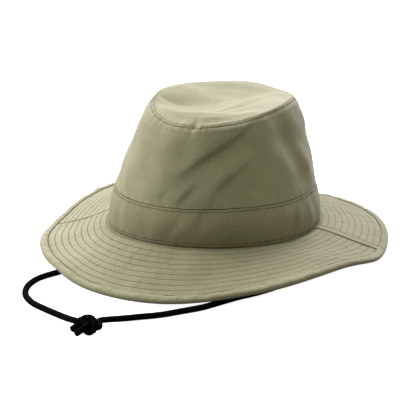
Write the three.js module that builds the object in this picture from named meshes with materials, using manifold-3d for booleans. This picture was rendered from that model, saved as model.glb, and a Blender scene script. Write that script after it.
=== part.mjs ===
// A traveller's sun hat in soft cloth, lying brim down on a flat surface.
// Millimetres, +Z up. The surface is z = 0, the front of the hat faces -Y and the wearer's left is +X.
// Every angle is in degrees round the head, from +X towards the back (+Y).
import * as THREE from "three";
import { mergeVertices } from "three/addons/utils/BufferGeometryUtils.js";
import Module from "manifold-3d";

// Clearance between pieces that touch, and the number of steps round the head.
const GAP = 0.3;
const STEPS_ROUND = 72;

// The crown's ovals, as half width, half length and the place of the centre.
const BASE_OVAL = { halfWidth: 86.6, halfLength: 103.4, x: 0, y: 0 };
const BAND_OVAL = { halfWidth: 82.8, halfLength: 98.6, x: 0, y: 4 };
const TIP_OVAL = { halfWidth: 53.5, halfLength: 79, x: 7, y: 1 };

// Cloth thicknesses.
const CROWN_CLOTH = 1.2;
const BAND_CLOTH = 1.4;
const BRIM_CLOTH = 1.6;
const BINDING_CLOTH = 1.3;

// The brim's width along the cloth, and the width of the binding that is folded over its edge.
const BRIM_WIDTH = 61.3;
const BINDING_WIDTH = 7.3;

// One row each 30 degrees: height of the seam of crown and brim, height of the band above it, height of
// the tip's seam, and how steeply the brim falls at the crown and at its rim, in degrees.
const STATIONS = [
  { joint: 22.5, band: 32, tip: 129.5, innerFall: 4, rimFall: 32 },
  { joint: 21.5, band: 31, tip: 125, innerFall: 7, rimFall: 20 },
  { joint: 23.5, band: 30.5, tip: 121.5, innerFall: 14, rimFall: 19.5 },
  { joint: 25.5, band: 30.5, tip: 123.5, innerFall: 21, rimFall: 27 },
  { joint: 27.5, band: 31, tip: 124.5, innerFall: 8, rimFall: 12 },
  { joint: 28, band: 31.5, tip: 127.5, innerFall: 6, rimFall: 16.5 },
  { joint: 24.5, band: 31.5, tip: 130.5, innerFall: 16, rimFall: 18 },
  { joint: 25.5, band: 31, tip: 127.5, innerFall: 26, rimFall: 4.5 },
  { joint: 29, band: 29, tip: 123.5, innerFall: 26.5, rimFall: 27 },
  { joint: 30.5, band: 28, tip: 122.5, innerFall: 27, rimFall: 28 },
  { joint: 29, band: 30, tip: 126.5, innerFall: 15, rimFall: 16 },
  { joint: 25.5, band: 31.5, tip: 129, innerFall: 6, rimFall: 8 },
];

// How far the crown's wall swells out of a straight line from the band to the tip's seam, on the
// wearer's right and left.
const SWELL = [
  { share: 0, right: 0, left: 0 },
  { share: 0.12, right: 0.5, left: 1.5 },
  { share: 0.3, right: 2, left: 3 },
  { share: 0.5, right: 2.5, left: 3.5 },
  { share: 0.7, right: 4, left: 3.5 },
  { share: 0.85, right: 3, left: 4 },
  { share: 0.94, right: 1, left: 4 },
  { share: 1, right: 0, left: 0 },
];

// Soft folds in the crown's wall: each runs from one place to another, given as an angle and a share of
// the height above the band, with the width of its valley or ridge and its depth, below zero for a valley.
const FOLDS = [
  { fromAngle: 312, fromShare: 0.97, toAngle: 276, toShare: 0.56, width: 9, depth: -2.6 },
  { fromAngle: 276, fromShare: 0.56, toAngle: 266, toShare: 0.14, width: 9, depth: -1.2 },
  { fromAngle: 300, fromShare: 0.97, toAngle: 268, toShare: 0.72, width: 12, depth: 1.2 },
  { fromAngle: 330, fromShare: 0.92, toAngle: 343, toShare: 0.15, width: 6, depth: 1.6 },
  { fromAngle: 336, fromShare: 0.95, toAngle: 351, toShare: 0.08, width: 6, depth: -2.4 },
  { fromAngle: 354, fromShare: 0.95, toAngle: 3, toShare: 0.1, width: 7, depth: 1.4 },
  { fromAngle: 236, fromShare: 0.9, toAngle: 246, toShare: 0.2, width: 14, depth: -1.2 },
  { fromAngle: 60, fromShare: 0.95, toAngle: 82, toShare: 0.2, width: 12, depth: -2 },
  { fromAngle: 126, fromShare: 0.9, toAngle: 112, toShare: 0.15, width: 13, depth: -1.8 },
];

// The small notch where the tip's seam is pinched at the front.
const NOTCH = { angle: 269, halfAngle: 4.5, drop: 3, inward: 2 };

// The tip sags in a dish, with a crest across it behind the front seam.
const DISH_DEPTH = 7;
const CREST = { y: -44, halfWidth: 15, height: 3.5 };

// Where the two halves of the brim meet: a felled seam on the wearer's left and a plain one on the right.
const FELLED_SEAM = 359;
const PLAIN_SEAM = 186;
const FELLED_STRIP = { width: 4.5, height: 0.7 };

// The binding lifts where the chin cord passes under it.
const CORD_LIFT = { angle: 228, halfAngle: 8, height: 2.2 };

// The chin cord: its diameter, and its route on each side from the tab to the knot.
const CORD_DIAMETER = 4.2;
const CORD_SIDES = 8;
const CORD_STEP = 11;
const FLOOR_LINE = CORD_DIAMETER / 2 + 0.05;
const RIGHT_CORD = [
  [-81.9, 0, 12.4],
  [-82, -2, 7.5],
  [-84, -10, 3.4],
  [-88, -22, FLOOR_LINE],
  [-94, -45, FLOOR_LINE],
  [-97, -70, FLOOR_LINE],
  [-96, -95, FLOOR_LINE],
  [-97, -112, FLOOR_LINE],
  [-102, -121, FLOOR_LINE],
  [-107, -131, FLOOR_LINE],
  [-109, -145, FLOOR_LINE],
  [-107, -160, FLOOR_LINE],
  [-101, -174, FLOOR_LINE],
  [-90, -187, FLOOR_LINE],
  [-77, -196, FLOOR_LINE],
  [-66, -202.8, FLOOR_LINE],
  [-60.5, -206.4, FLOOR_LINE + 0.2],
  [-54.7, -211.4, FLOOR_LINE + 1.1],
  [-48.4, -217.4, FLOOR_LINE + 2.5],
  [-42.6, -222.2, FLOOR_LINE + 3.8],
  [-39.9, -224.4, FLOOR_LINE + 4],
];
const LEFT_CORD = [
  [81.9, 0, 12.4],
  [82, -2, 7.5],
  [83.5, -10, 3.4],
  [86, -22, FLOOR_LINE],
  [89, -45, FLOOR_LINE],
  [87, -70, FLOOR_LINE],
  [80, -94, FLOOR_LINE],
  [69, -113, FLOOR_LINE],
  [57, -128, FLOOR_LINE],
  [47, -143, FLOOR_LINE],
  [37, -158, FLOOR_LINE],
  [24, -171, FLOOR_LINE],
  [11, -183, FLOOR_LINE],
  [0, -190, FLOOR_LINE],
  [-8.7, -195.5, FLOOR_LINE],
  [-15, -200.2, FLOOR_LINE + 0.3],
  [-19.6, -205.3, FLOOR_LINE + 1.2],
  [-22.6, -211, FLOOR_LINE + 2.5],
  [-24.4, -217, FLOOR_LINE + 3.8],
  [-25.3, -222.2, FLOOR_LINE + 4.1],
];

// The knot: its lobes, and the two short tails that come out of it.
const KNOT_LOBES = [
  { x: -26.8, y: -228.7, z: 6.4, radius: 6.3 },
  { x: -31.5, y: -227.5, z: 6, radius: 5.2 },
  { x: -36.4, y: -227.2, z: 6, radius: 4.2 },
  { x: -32.6, y: -224.6, z: 8.6, radius: 3.9 },
];
const KNOT_TAILS = [
  [
    [-35.5, -227.5, 5.6],
    [-39.2, -230, 4],
    [-41.6, -232.8, 2.6],
  ],
  [
    [-30, -230, 5],
    [-33, -235, 3.2],
    [-35.5, -240.5, 2.2],
  ],
];

// The tab of folded cloth that holds each end of the cord inside the crown's seam, leaning with the wall.
const TAB = { width: 10, thickness: 2.4, below: 10, above: 8, clearance: 0.6, lean: 7 };

const CLOTH = { color: 0xb5b08c, roughness: 0.9, metalness: 0 };
const CORD = { color: 0x0d0d0d, roughness: 0.8, metalness: 0 };

const radians = THREE.MathUtils.degToRad;

// A smooth closed curve through one column of the stations.
function aroundHead(column, angle) {
  const count = STATIONS.length;
  const place = (((angle % 360) + 360) % 360) / (360 / count);
  const row = Math.floor(place);
  const part = place - row;
  const [a, b, c, d] = [-1, 0, 1, 2].map((step) => STATIONS[(row + step + count) % count][column]);
  const bend = 2 * a - 5 * b + 4 * c - d;
  const twist = 3 * b - 3 * c + d - a;
  return b + 0.5 * ((c - a) * part + bend * part ** 2 + twist * part ** 3);
}

// The swell of the wall at a share of its height, blended from the wearer's right side to the left.
function swellAt(angle, share) {
  const next = Math.max(1, SWELL.findIndex((row) => row.share >= share));
  const [low, high] = [SWELL[next - 1], SWELL[next]];
  const part = (share - low.share) / (high.share - low.share);
  const left = THREE.MathUtils.lerp(low.left, high.left, part);
  const right = THREE.MathUtils.lerp(low.right, high.right, part);
  return THREE.MathUtils.lerp(right, left, (1 + Math.cos(radians(angle))) / 2);
}

// A bell curve: 1 at zero, and down to about a third at the half width.
function bell(distance, halfWidth) {
  return Math.exp(-((distance / halfWidth) ** 2));
}

function turnBetween(angle, other) {
  return ((((angle - other) % 360) + 540) % 360) - 180;
}

// The depth of all folds at a place on the crown's wall, measured on the wall laid out flat.
function foldAt(angle, share) {
  const acrossPerDegree = 1.35;
  const wallHeight = 68;
  const fade = Math.min(1, share / 0.12, (1 - share) / 0.06);
  return FOLDS.reduce((total, fold) => {
    const from = new THREE.Vector2(0, fold.fromShare * wallHeight);
    const run = turnBetween(fold.toAngle, fold.fromAngle) * acrossPerDegree;
    const to = new THREE.Vector2(run, fold.toShare * wallHeight);
    const across = turnBetween(angle, fold.fromAngle) * acrossPerDegree;
    const place = new THREE.Vector2(across, share * wallHeight);
    const line = to.clone().sub(from);
    const along = THREE.MathUtils.clamp(place.clone().sub(from).dot(line) / line.lengthSq(), 0, 1);
    const distance = place.distanceTo(from.clone().addScaledVector(line, along));
    return total + fold.depth * bell(distance, fold.width) * fade;
  }, 0);
}

// The direction straight out of an oval at an angle, in plan.
function outward(oval, angle) {
  const turn = radians(angle);
  return new THREE.Vector3(Math.cos(turn) * oval.halfLength, Math.sin(turn) * oval.halfWidth, 0).normalize();
}

function onOval(oval, angle, height) {
  const turn = radians(angle);
  return new THREE.Vector3(
    oval.x + oval.halfWidth * Math.cos(turn),
    oval.y + oval.halfLength * Math.sin(turn),
    height,
  );
}

// A place on the band's outside, moved inwards by an inset.
function bandPoint(angle, share, inset) {
  const joint = aroundHead("joint", angle);
  const foot = onOval(BASE_OVAL, angle, joint + BRIM_CLOTH / 2 + GAP);
  const head = onOval(BAND_OVAL, angle, joint + aroundHead("band", angle));
  return foot.lerp(head, share).addScaledVector(outward(BASE_OVAL, angle), -inset);
}

// The tip's seam, with the notch at the front.
function seamPoint(angle, inset) {
  const pinch = bell(turnBetween(angle, NOTCH.angle), NOTCH.halfAngle);
  const height = aroundHead("tip", angle) - NOTCH.drop * pinch;
  return onOval(TIP_OVAL, angle, height).addScaledVector(
    outward(TIP_OVAL, angle),
    -inset - NOTCH.inward * pinch,
  );
}

// A place on the wall's outside above the band, moved inwards by an inset.
function wallPoint(angle, share, inset) {
  const foot = bandPoint(angle, 1, BAND_CLOTH + GAP);
  const push = swellAt(angle, share) + foldAt(angle, share) - inset;
  return foot.lerp(seamPoint(angle, 0), share).addScaledVector(outward(BASE_OVAL, angle), push);
}

// A place on the brim: how far out along the cloth from the crown's seam, and how far above its middle.
function brimPoint(angle, reach, above) {
  const inner = radians(aroundHead("innerFall", angle));
  const rim = radians(aroundHead("rimFall", angle));
  const change = (rim - inner) / BRIM_WIDTH;
  const fall = reach > 0 ? inner + change * reach : 0;
  const straight = Math.abs(change) < 1e-6 || reach <= 0;
  const out = straight ? reach * Math.cos(fall) : (Math.sin(fall) - Math.sin(inner)) / change;
  const down = straight ? reach * Math.sin(fall) : (Math.cos(inner) - Math.cos(fall)) / change;
  const lift = CORD_LIFT.height * bell(turnBetween(angle, CORD_LIFT.angle), CORD_LIFT.halfAngle);
  const lifted = lift * Math.max(0, reach / BRIM_WIDTH) ** 2;
  const height = aroundHead("joint", angle) - down + lifted + above * Math.cos(fall);
  return onOval(BASE_OVAL, angle, height).addScaledVector(
    outward(BASE_OVAL, angle),
    out + above * Math.sin(fall),
  );
}

// A place on the tip, from its middle (share 0) to its seam (share 1).
function tipPoint(angle, share, below) {
  const edge = seamPoint(angle, CROWN_CLOTH + GAP);
  const middleHeight = aroundHead("tip", 90) + 3;
  const point = new THREE.Vector3(TIP_OVAL.x, TIP_OVAL.y, middleHeight).lerp(edge, share);
  const dish = DISH_DEPTH * (1 - share ** 3);
  const crest = CREST.height * bell(point.y - CREST.y, CREST.halfWidth) * (1 - share ** 4);
  point.z += crest - dish - below;
  return point;
}

function shares(count) {
  return Array.from({ length: count + 1 }, (_, i) => i / count);
}

function stepsBetween(from, to, count) {
  return shares(count).map((share) => THREE.MathUtils.lerp(from, to, share));
}

function geometryOf(points, faces) {
  const geometry = new THREE.BufferGeometry();
  geometry.setAttribute("position", new THREE.Float32BufferAttribute(points.flatMap((p) => p.toArray()), 3));
  geometry.setIndex(faces.flat());
  return geometry;
}

function quad(a, b, c, d) {
  return [
    [a, b, c],
    [a, c, d],
  ];
}

// A closed body from outlines that follow each other round the head. Each outline is a loop whose second
// half runs back beside its first, and the ends are closed unless the body goes all the way round.
function bodyAround(outlines, wholeRound) {
  const size = outlines[0].length;
  const count = outlines.length;
  const at = (column, row) => (column % count) * size + (row % size);
  const faces = [];
  for (let column = 0; column < (wholeRound ? count : count - 1); column++) {
    for (let row = 0; row < size; row++) {
      faces.push(...quad(at(column, row), at(column + 1, row), at(column + 1, row + 1), at(column, row + 1)));
    }
  }
  for (let row = 0; !wholeRound && row < size / 2 - 1; row++) {
    const back = size - 1 - row;
    faces.push(...quad(at(0, row), at(0, row + 1), at(0, back - 1), at(0, back)));
    const end = count - 1;
    faces.push(...quad(at(end, row + 1), at(end, row), at(end, back), at(end, back - 1)));
  }
  return geometryOf(outlines.flat(), faces);
}

const ROUND = shares(STEPS_ROUND).slice(0, -1).map((share) => share * 360);

function crownWall() {
  const behindBand = [0, 0.5];
  const aboveBand = [0, 0.06, 0.15, 0.27, 0.4, 0.53, 0.66, 0.79, 0.9, 0.97, 1];
  const side = (angle, inset) => [
    ...behindBand.map((share) => bandPoint(angle, share, BAND_CLOTH + GAP + inset)),
    ...aboveBand.map((share) => wallPoint(angle, share, inset)),
  ];
  return bodyAround(ROUND.map((angle) => [...side(angle, 0), ...side(angle, CROWN_CLOTH).reverse()]), true);
}

function band() {
  const rows = shares(3);
  const side = (angle, inset) => rows.map((share) => bandPoint(angle, share, inset));
  return bodyAround(ROUND.map((angle) => [...side(angle, 0), ...side(angle, BAND_CLOTH).reverse()]), true);
}

// The tip is two faces of cloth joined at the edge, each a fan in the middle with rings round it.
function crownTip() {
  const rings = [0.26, 0.5, 0.72, 0.9, 1];
  const top = rings.map((share) => ROUND.map((angle) => tipPoint(angle, share, 0)));
  const under = rings.map((share) => ROUND.map((angle) => tipPoint(angle, share, CROWN_CLOTH))).reverse();
  const points = [tipPoint(0, 0, 0), ...[...top, ...under].flat(), tipPoint(0, 0, CROWN_CLOTH)];
  const last = points.length - 1;
  const at = (ring, column) => 1 + ring * STEPS_ROUND + (column % STEPS_ROUND);
  const lastRing = 2 * rings.length - 1;
  const faces = [];
  for (let column = 0; column < STEPS_ROUND; column++) {
    faces.push([0, at(0, column), at(0, column + 1)]);
    for (let ring = 0; ring < lastRing; ring++) {
      faces.push(
        ...quad(at(ring, column), at(ring + 1, column), at(ring + 1, column + 1), at(ring, column + 1)),
      );
    }
    faces.push([last, at(lastRing, column + 1), at(lastRing, column)]);
  }
  return geometryOf(points, faces);
}

// One half of the brim. The felled seam is a raised strip along the half's own end.
function brimHalf(from, to, stripAtEnd) {
  const underBinding = BRIM_WIDTH - BINDING_WIDTH - 1;
  const flange = -BAND_CLOTH - GAP - CROWN_CLOTH;
  const reaches = [flange, ...stepsBetween(0, underBinding, 4), BRIM_WIDTH - BINDING_CLOTH - GAP];
  const degreesPerMm = (radius) => 180 / (Math.PI * radius);
  const middleRadius = BASE_OVAL.halfWidth + BRIM_WIDTH / 2;
  const strip = FELLED_STRIP.width * degreesPerMm(middleRadius);
  const step = 0.35 * degreesPerMm(middleRadius);
  const margin = (GAP / 2) * degreesPerMm(BASE_OVAL.halfWidth);
  const start = from + margin;
  const stop = to - margin;
  const stripAngles = stripAtEnd ? [stop - strip, stop - strip + step, stop] : [stop];
  const plain = stepsBetween(start, stripAngles[0], STEPS_ROUND / 2).slice(0, -1);
  const outlines = [...plain, ...stripAngles].map((angle) => {
    const raised = stripAtEnd && angle > stop - strip ? FELLED_STRIP.height : 0;
    const top = reaches.map((reach) => {
      const rise = reach > 0 && reach < underBinding ? raised : 0;
      return brimPoint(angle, reach, BRIM_CLOTH / 2 + rise);
    });
    const under = reaches.map((reach) => brimPoint(angle, reach, -BRIM_CLOTH / 2));
    return [...under, ...top.reverse()];
  });
  return bodyAround(outlines, false);
}

// The binding is a strip folded round the brim's edge, pressed flat where it lies on the surface.
function brimBinding() {
  const legOutside = BRIM_CLOTH / 2 + GAP + BINDING_CLOTH;
  const legInside = BRIM_CLOTH / 2 + GAP;
  const inner = BRIM_WIDTH - BINDING_WIDTH;
  const section = [
    { reach: inner, above: -legOutside },
    { reach: BRIM_WIDTH - 1.6, above: -legOutside },
    { reach: BRIM_WIDTH - 0.3, above: -1.4 },
    { reach: BRIM_WIDTH, above: 0 },
    { reach: BRIM_WIDTH - 0.3, above: 1.4 },
    { reach: BRIM_WIDTH - 1.6, above: legOutside },
    { reach: inner, above: legOutside },
    { reach: inner, above: legInside },
    { reach: BRIM_WIDTH - BINDING_CLOTH, above: legInside },
    { reach: BRIM_WIDTH - BINDING_CLOTH, above: -legInside },
    { reach: inner, above: -legInside },
  ];
  const outlines = ROUND.map((angle) =>
    section.map(({ reach, above }) => {
      const point = brimPoint(angle, reach, above);
      point.z = Math.max(0, point.z);
      return point;
    }),
  );
  return bodyAround(outlines, true);
}

// A round cord along a smooth curve through its points.
function cordAlong(points) {
  const path = new THREE.CatmullRomCurve3(points.map((point) => new THREE.Vector3(...point)));
  const circle = new THREE.Shape(
    Array.from({ length: CORD_SIDES }, (_, side) => {
      const turn = (2 * Math.PI * (side + 0.5)) / CORD_SIDES;
      return new THREE.Vector2(Math.cos(turn), Math.sin(turn)).multiplyScalar(CORD_DIAMETER / 2);
    }),
  );
  const steps = Math.max(3, Math.round(path.getLength() / CORD_STEP));
  return new THREE.ExtrudeGeometry(circle, { steps, extrudePath: path, bevelEnabled: false });
}

const wasm = await Module();
wasm.setup();

function solidFrom(geometry) {
  const bare = geometry.index ? geometry.toNonIndexed() : geometry.clone();
  bare.deleteAttribute("normal");
  bare.deleteAttribute("uv");
  const merged = mergeVertices(bare, 1e-4);
  return new wasm.Manifold(
    new wasm.Mesh({
      numProp: 3,
      vertProperties: merged.attributes.position.array,
      triVerts: new Uint32Array(merged.index.array),
    }),
  );
}

function geometryFrom(solid) {
  const mesh = solid.getMesh();
  const geometry = new THREE.BufferGeometry();
  geometry.setAttribute("position", new THREE.BufferAttribute(mesh.vertProperties, 3));
  geometry.setIndex(new THREE.BufferAttribute(mesh.triVerts, 1));
  return geometry;
}

function knot() {
  const lobes = KNOT_LOBES.map(({ x, y, z, radius }) =>
    solidFrom(new THREE.SphereGeometry(radius, 10, 7).translate(x, y, z)),
  );
  const tails = KNOT_TAILS.map((points) => solidFrom(cordAlong(points)));
  return geometryFrom([...lobes, ...tails].reduce((whole, next) => whole.add(next)));
}

// The tab hangs inside the wall, from above the crown's seam to below it, and the cord starts under it.
function cordTab(side) {
  const wallInside = BASE_OVAL.halfWidth - BAND_CLOTH - GAP - CROWN_CLOTH;
  const seamHeight = aroundHead("joint", side > 0 ? 0 : 180) + BRIM_CLOTH;
  const tab = new THREE.BoxGeometry(TAB.thickness, TAB.width, TAB.below + TAB.above);
  tab.translate(0, 0, (TAB.above - TAB.below) / 2);
  tab.rotateY(-side * radians(TAB.lean));
  return tab.translate(side * (wallInside - TAB.clearance - TAB.thickness / 2), 0, seamHeight);
}

function piece(name, geometry, finish) {
  const mesh = new THREE.Mesh(geometry, new THREE.MeshStandardMaterial(finish));
  mesh.name = name;
  return mesh;
}

const hat = new THREE.Group();
hat.add(piece("crown_tip", crownTip(), CLOTH));
hat.add(piece("crown_wall", crownWall(), CLOTH));
hat.add(piece("band", band(), CLOTH));
hat.add(piece("brim_front", brimHalf(PLAIN_SEAM, FELLED_SEAM, true), CLOTH));
hat.add(piece("brim_back", brimHalf(FELLED_SEAM, PLAIN_SEAM + 360, false), CLOTH));
hat.add(piece("brim_binding", brimBinding(), CLOTH));
hat.add(piece("cord_tab_left", cordTab(1), CORD));
hat.add(piece("cord_tab_right", cordTab(-1), CORD));

const chinCord = new THREE.Group();
chinCord.add(piece("chin_cord_left", cordAlong(LEFT_CORD), CORD));
chinCord.add(piece("chin_cord_right", cordAlong(RIGHT_CORD), CORD));
chinCord.add(piece("cord_knot", knot(), CORD));

const model = new THREE.Group();
model.add(hat, chinCord);
export default model;
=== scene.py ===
# %% [markdown]
# # A traveller's sun hat
#
# A soft cloth hat lies brim down on a pale table, with its black chin cord in front of it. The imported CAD
# model is the frame: it says where every piece is. Each cloth piece is laid again here as a fine sheet, so
# that it can carry its seams, folds and rows of stitches. Lengths are in metres and angles in degrees. An
# angle round the head is counted from the wearer's left (+X) towards the back (+Y).

# %% Load the frame
import math
from collections import namedtuple

import bpy
import numpy as np
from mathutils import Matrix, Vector


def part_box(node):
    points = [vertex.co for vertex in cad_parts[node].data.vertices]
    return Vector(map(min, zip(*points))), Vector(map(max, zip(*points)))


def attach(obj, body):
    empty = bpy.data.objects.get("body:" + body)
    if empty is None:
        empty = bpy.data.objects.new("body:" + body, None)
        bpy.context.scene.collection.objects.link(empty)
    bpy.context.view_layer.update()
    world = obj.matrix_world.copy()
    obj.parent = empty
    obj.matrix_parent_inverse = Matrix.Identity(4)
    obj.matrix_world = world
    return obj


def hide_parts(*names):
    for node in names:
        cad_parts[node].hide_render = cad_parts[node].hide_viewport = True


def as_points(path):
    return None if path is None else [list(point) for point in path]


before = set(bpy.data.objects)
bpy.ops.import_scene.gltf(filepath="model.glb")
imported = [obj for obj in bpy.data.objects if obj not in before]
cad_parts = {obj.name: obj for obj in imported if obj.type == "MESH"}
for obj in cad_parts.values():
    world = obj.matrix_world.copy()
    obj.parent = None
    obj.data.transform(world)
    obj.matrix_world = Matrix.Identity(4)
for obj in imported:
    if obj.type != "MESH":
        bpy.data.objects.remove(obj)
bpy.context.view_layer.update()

# %% [markdown]
# ## The camera
#
# The photo looks at the front of the hat, a little from the wearer's left and from above. A long lens far
# away keeps the ovals of crown and brim as flat as they are there. The lens follows from the distance and
# from how many pixels a metre takes at the middle of the hat, in a picture of 400 by 400.

# %% Place the camera
CAMERA_TURN = 16.5
CAMERA_RISE = 18.31
CAMERA_DISTANCE = 1.5455
PICTURE_WIDTH = 400
PIXELS_PER_METRE = 1180
AIM_RIGHT = -0.0128
AIM_UP = 0.0372
SENSOR_WIDTH = 36

turn, rise = math.radians(CAMERA_TURN), math.radians(CAMERA_RISE)
to_camera = Vector((math.sin(turn) * math.cos(rise), -math.cos(turn) * math.cos(rise), math.sin(rise)))
facing = (-to_camera).to_track_quat("-Z", "Y")
aim = facing @ Vector((AIM_RIGHT, AIM_UP, 0))
stand = to_camera * CAMERA_DISTANCE
bpy.ops.object.camera_add(location=stand, rotation=(aim - stand).to_track_quat("-Z", "Y").to_euler())
camera = bpy.context.object
camera.name = "camera"
camera.data.sensor_width = SENSOR_WIDTH
camera.data.lens = SENSOR_WIDTH * CAMERA_DISTANCE * PIXELS_PER_METRE / PICTURE_WIDTH
bpy.context.scene.camera = camera
print("lens", round(camera.data.lens, 1), "mm")

# %% [markdown]
# ## Sheets, tubes and rows
#
# Cloth and cord are both made in one way: a flat grid is added, its points are laid in place by a function
# of how far along and across they are, and edges that meet are joined. The grid keeps a flat map of itself
# in metres, so that a weave follows the cloth round every bend.

# %% Helpers for laying a grid in place
JOIN_DISTANCE = 2e-6
SMOOTH_ANGLE = math.radians(50)


def select_only(*things):
    bpy.ops.object.select_all(action="DESELECT")
    for thing in things:
        thing.select_set(True)
    bpy.context.view_layer.objects.active = things[0]


def laid_grid(name, along, across, place, flat):
    """A grid with a column for each value of along and a row for each of across, laid by place."""
    bpy.ops.object.select_all(action="DESELECT")
    bpy.ops.mesh.primitive_grid_add(
        x_subdivisions=len(along) - 1, y_subdivisions=len(across) - 1, size=1, location=(0, 0, 0)
    )
    piece = bpy.context.object
    piece.name = piece.data.name = name
    mesh = piece.data
    columns, rows = np.meshgrid(along, across)
    mesh.vertices.foreach_set("co", place(columns, rows).reshape(-1))
    corners = np.empty(len(mesh.loops), dtype=int)
    mesh.loops.foreach_get("vertex_index", corners)
    mesh.uv_layers.active.data.foreach_set("uv", flat(columns, rows).reshape(-1, 2)[corners].reshape(-1))
    mesh.update()
    return piece


def add_mark(piece, name, values):
    """A number at each point of the grid, for the finish to read."""
    mark = piece.data.attributes.new(name, "FLOAT", "POINT")
    mark.data.foreach_set("value", values.reshape(-1).astype(np.float32))


def join_edges(piece):
    """Merges the points that fall together, as where a sheet meets itself round the head."""
    select_only(piece)
    bpy.ops.object.mode_set(mode="EDIT")
    bpy.ops.mesh.select_all(action="SELECT")
    bpy.ops.mesh.remove_doubles(threshold=JOIN_DISTANCE)
    bpy.ops.object.mode_set(mode="OBJECT")


def turn_faces_out(piece):
    select_only(piece)
    bpy.ops.object.mode_set(mode="EDIT")
    bpy.ops.mesh.select_all(action="SELECT")
    bpy.ops.mesh.normals_make_consistent(inside=False)
    bpy.ops.object.mode_set(mode="OBJECT")


def apply_modifier(piece, kind, **settings):
    select_only(piece)
    modifier = piece.modifiers.new(kind.lower(), kind)
    for setting, value in settings.items():
        setattr(modifier, setting, value)
    bpy.ops.object.modifier_apply(modifier=modifier.name)


def report(piece):
    count = sum(len(face.vertices) - 2 for face in piece.data.polygons)
    print(f"{piece.name}: {count} triangles, {[round(side * 1000) for side in piece.dimensions]} mm")


def stations(*lists):
    """All values of several lists, in order and without repeats."""
    return np.unique(np.round(np.concatenate([np.asarray(one, dtype=float) for one in lists]), 6))


# %% [markdown]
# ## The chin cord
#
# The cord is a round braid, 4.2 mm thick, whose loose skin stands a little fuller than that. It hangs from a
# tab on each side inside the crown, runs forward on the table under the brim and comes out in front, where
# the two ends are tied in one knot. Its route repeats the plan of the CAD model's, a little higher for the
# fuller skin. A curve with a round profile would be smooth, so the braid is a tube whose skin rises where a
# strand passes over and sinks where it passes under.

# %% The route of the cord
CORD_DIAMETER = 0.0042
CORD_SWELL = 1.11
FLOOR_LINE = 0.0027
RIGHT_CORD = [
    (-0.0819, 0, 0.0124),
    (-0.082, -0.002, 0.0075),
    (-0.084, -0.01, 0.0034),
    (-0.088, -0.022, FLOOR_LINE),
    (-0.094, -0.045, FLOOR_LINE),
    (-0.097, -0.07, FLOOR_LINE),
    (-0.096, -0.095, FLOOR_LINE),
    (-0.097, -0.112, FLOOR_LINE),
    (-0.102, -0.121, FLOOR_LINE),
    (-0.107, -0.131, FLOOR_LINE),
    (-0.109, -0.145, FLOOR_LINE),
    (-0.107, -0.16, FLOOR_LINE),
    (-0.101, -0.174, FLOOR_LINE),
    (-0.09, -0.187, FLOOR_LINE),
    (-0.077, -0.196, FLOOR_LINE),
    (-0.066, -0.2028, FLOOR_LINE),
    (-0.0605, -0.2064, FLOOR_LINE + 0.0002),
    (-0.0547, -0.2114, FLOOR_LINE + 0.0011),
    (-0.0484, -0.2174, FLOOR_LINE + 0.0025),
    (-0.0426, -0.2222, FLOOR_LINE + 0.0038),
    (-0.0399, -0.2244, FLOOR_LINE + 0.004),
]
LEFT_CORD = [
    (0.0819, 0, 0.0124),
    (0.082, -0.002, 0.0075),
    (0.0835, -0.01, 0.0034),
    (0.086, -0.022, FLOOR_LINE),
    (0.089, -0.045, FLOOR_LINE),
    (0.087, -0.07, FLOOR_LINE),
    (0.08, -0.094, FLOOR_LINE),
    (0.069, -0.113, FLOOR_LINE),
    (0.057, -0.128, FLOOR_LINE),
    (0.047, -0.143, FLOOR_LINE),
    (0.037, -0.158, FLOOR_LINE),
    (0.024, -0.171, FLOOR_LINE),
    (0.011, -0.183, FLOOR_LINE),
    (0, -0.19, FLOOR_LINE),
    (-0.0087, -0.1955, FLOOR_LINE),
    (-0.015, -0.2002, FLOOR_LINE + 0.0003),
    (-0.0196, -0.2053, FLOOR_LINE + 0.0012),
    (-0.0226, -0.211, FLOOR_LINE + 0.0025),
    (-0.0244, -0.217, FLOOR_LINE + 0.0038),
    (-0.0253, -0.2222, FLOOR_LINE + 0.0041),
]


STRETCH_PARTS = 40


def smooth_route(points, step):
    """Places at even steps along a smooth curve through the points."""
    route = np.array(points, dtype=float)
    padded = np.vstack([2 * route[0] - route[1], route, 2 * route[-1] - route[-2]])
    fine = []
    for before, start, stop, after in zip(padded, padded[1:], padded[2:], padded[3:]):
        pairs = ((before, start), (start, stop), (stop, after))
        k0, k1, k2 = (math.sqrt(np.linalg.norm(q - p)) for p, q in pairs)
        leave = ((start - before) / k0 - (stop - before) / (k0 + k1) + (stop - start) / k1) * k1
        arrive = ((stop - start) / k1 - (after - start) / (k1 + k2) + (after - stop) / k2) * k1
        part = np.linspace(0, 1, STRETCH_PARTS, endpoint=False)[:, None]
        bend = -3 * start + 3 * stop - 2 * leave - arrive
        twist = 2 * start - 2 * stop + leave + arrive
        fine.append(start + leave * part + bend * part**2 + twist * part**3)
    fine = np.vstack([*fine, route[-1]])
    way = np.concatenate([[0], np.cumsum(np.linalg.norm(np.diff(fine, axis=0), axis=1))])
    even = np.linspace(0, way[-1], max(4, round(way[-1] / step)) + 1)
    return np.stack([np.interp(even, way, fine[:, axis]) for axis in range(3)], axis=1), even


# %% A tube with a braided skin
CORD_STRANDS = 8
STRAND_STEP = 0.0023
BRAID_RISE = 0.00032
BRAID_BASE = 1.05
ROUND_END_REACH = 0.4 * CORD_DIAMETER
POINTS_ROUND_CORD = 32
CORD_POINT_STEP = 0.00046


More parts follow.
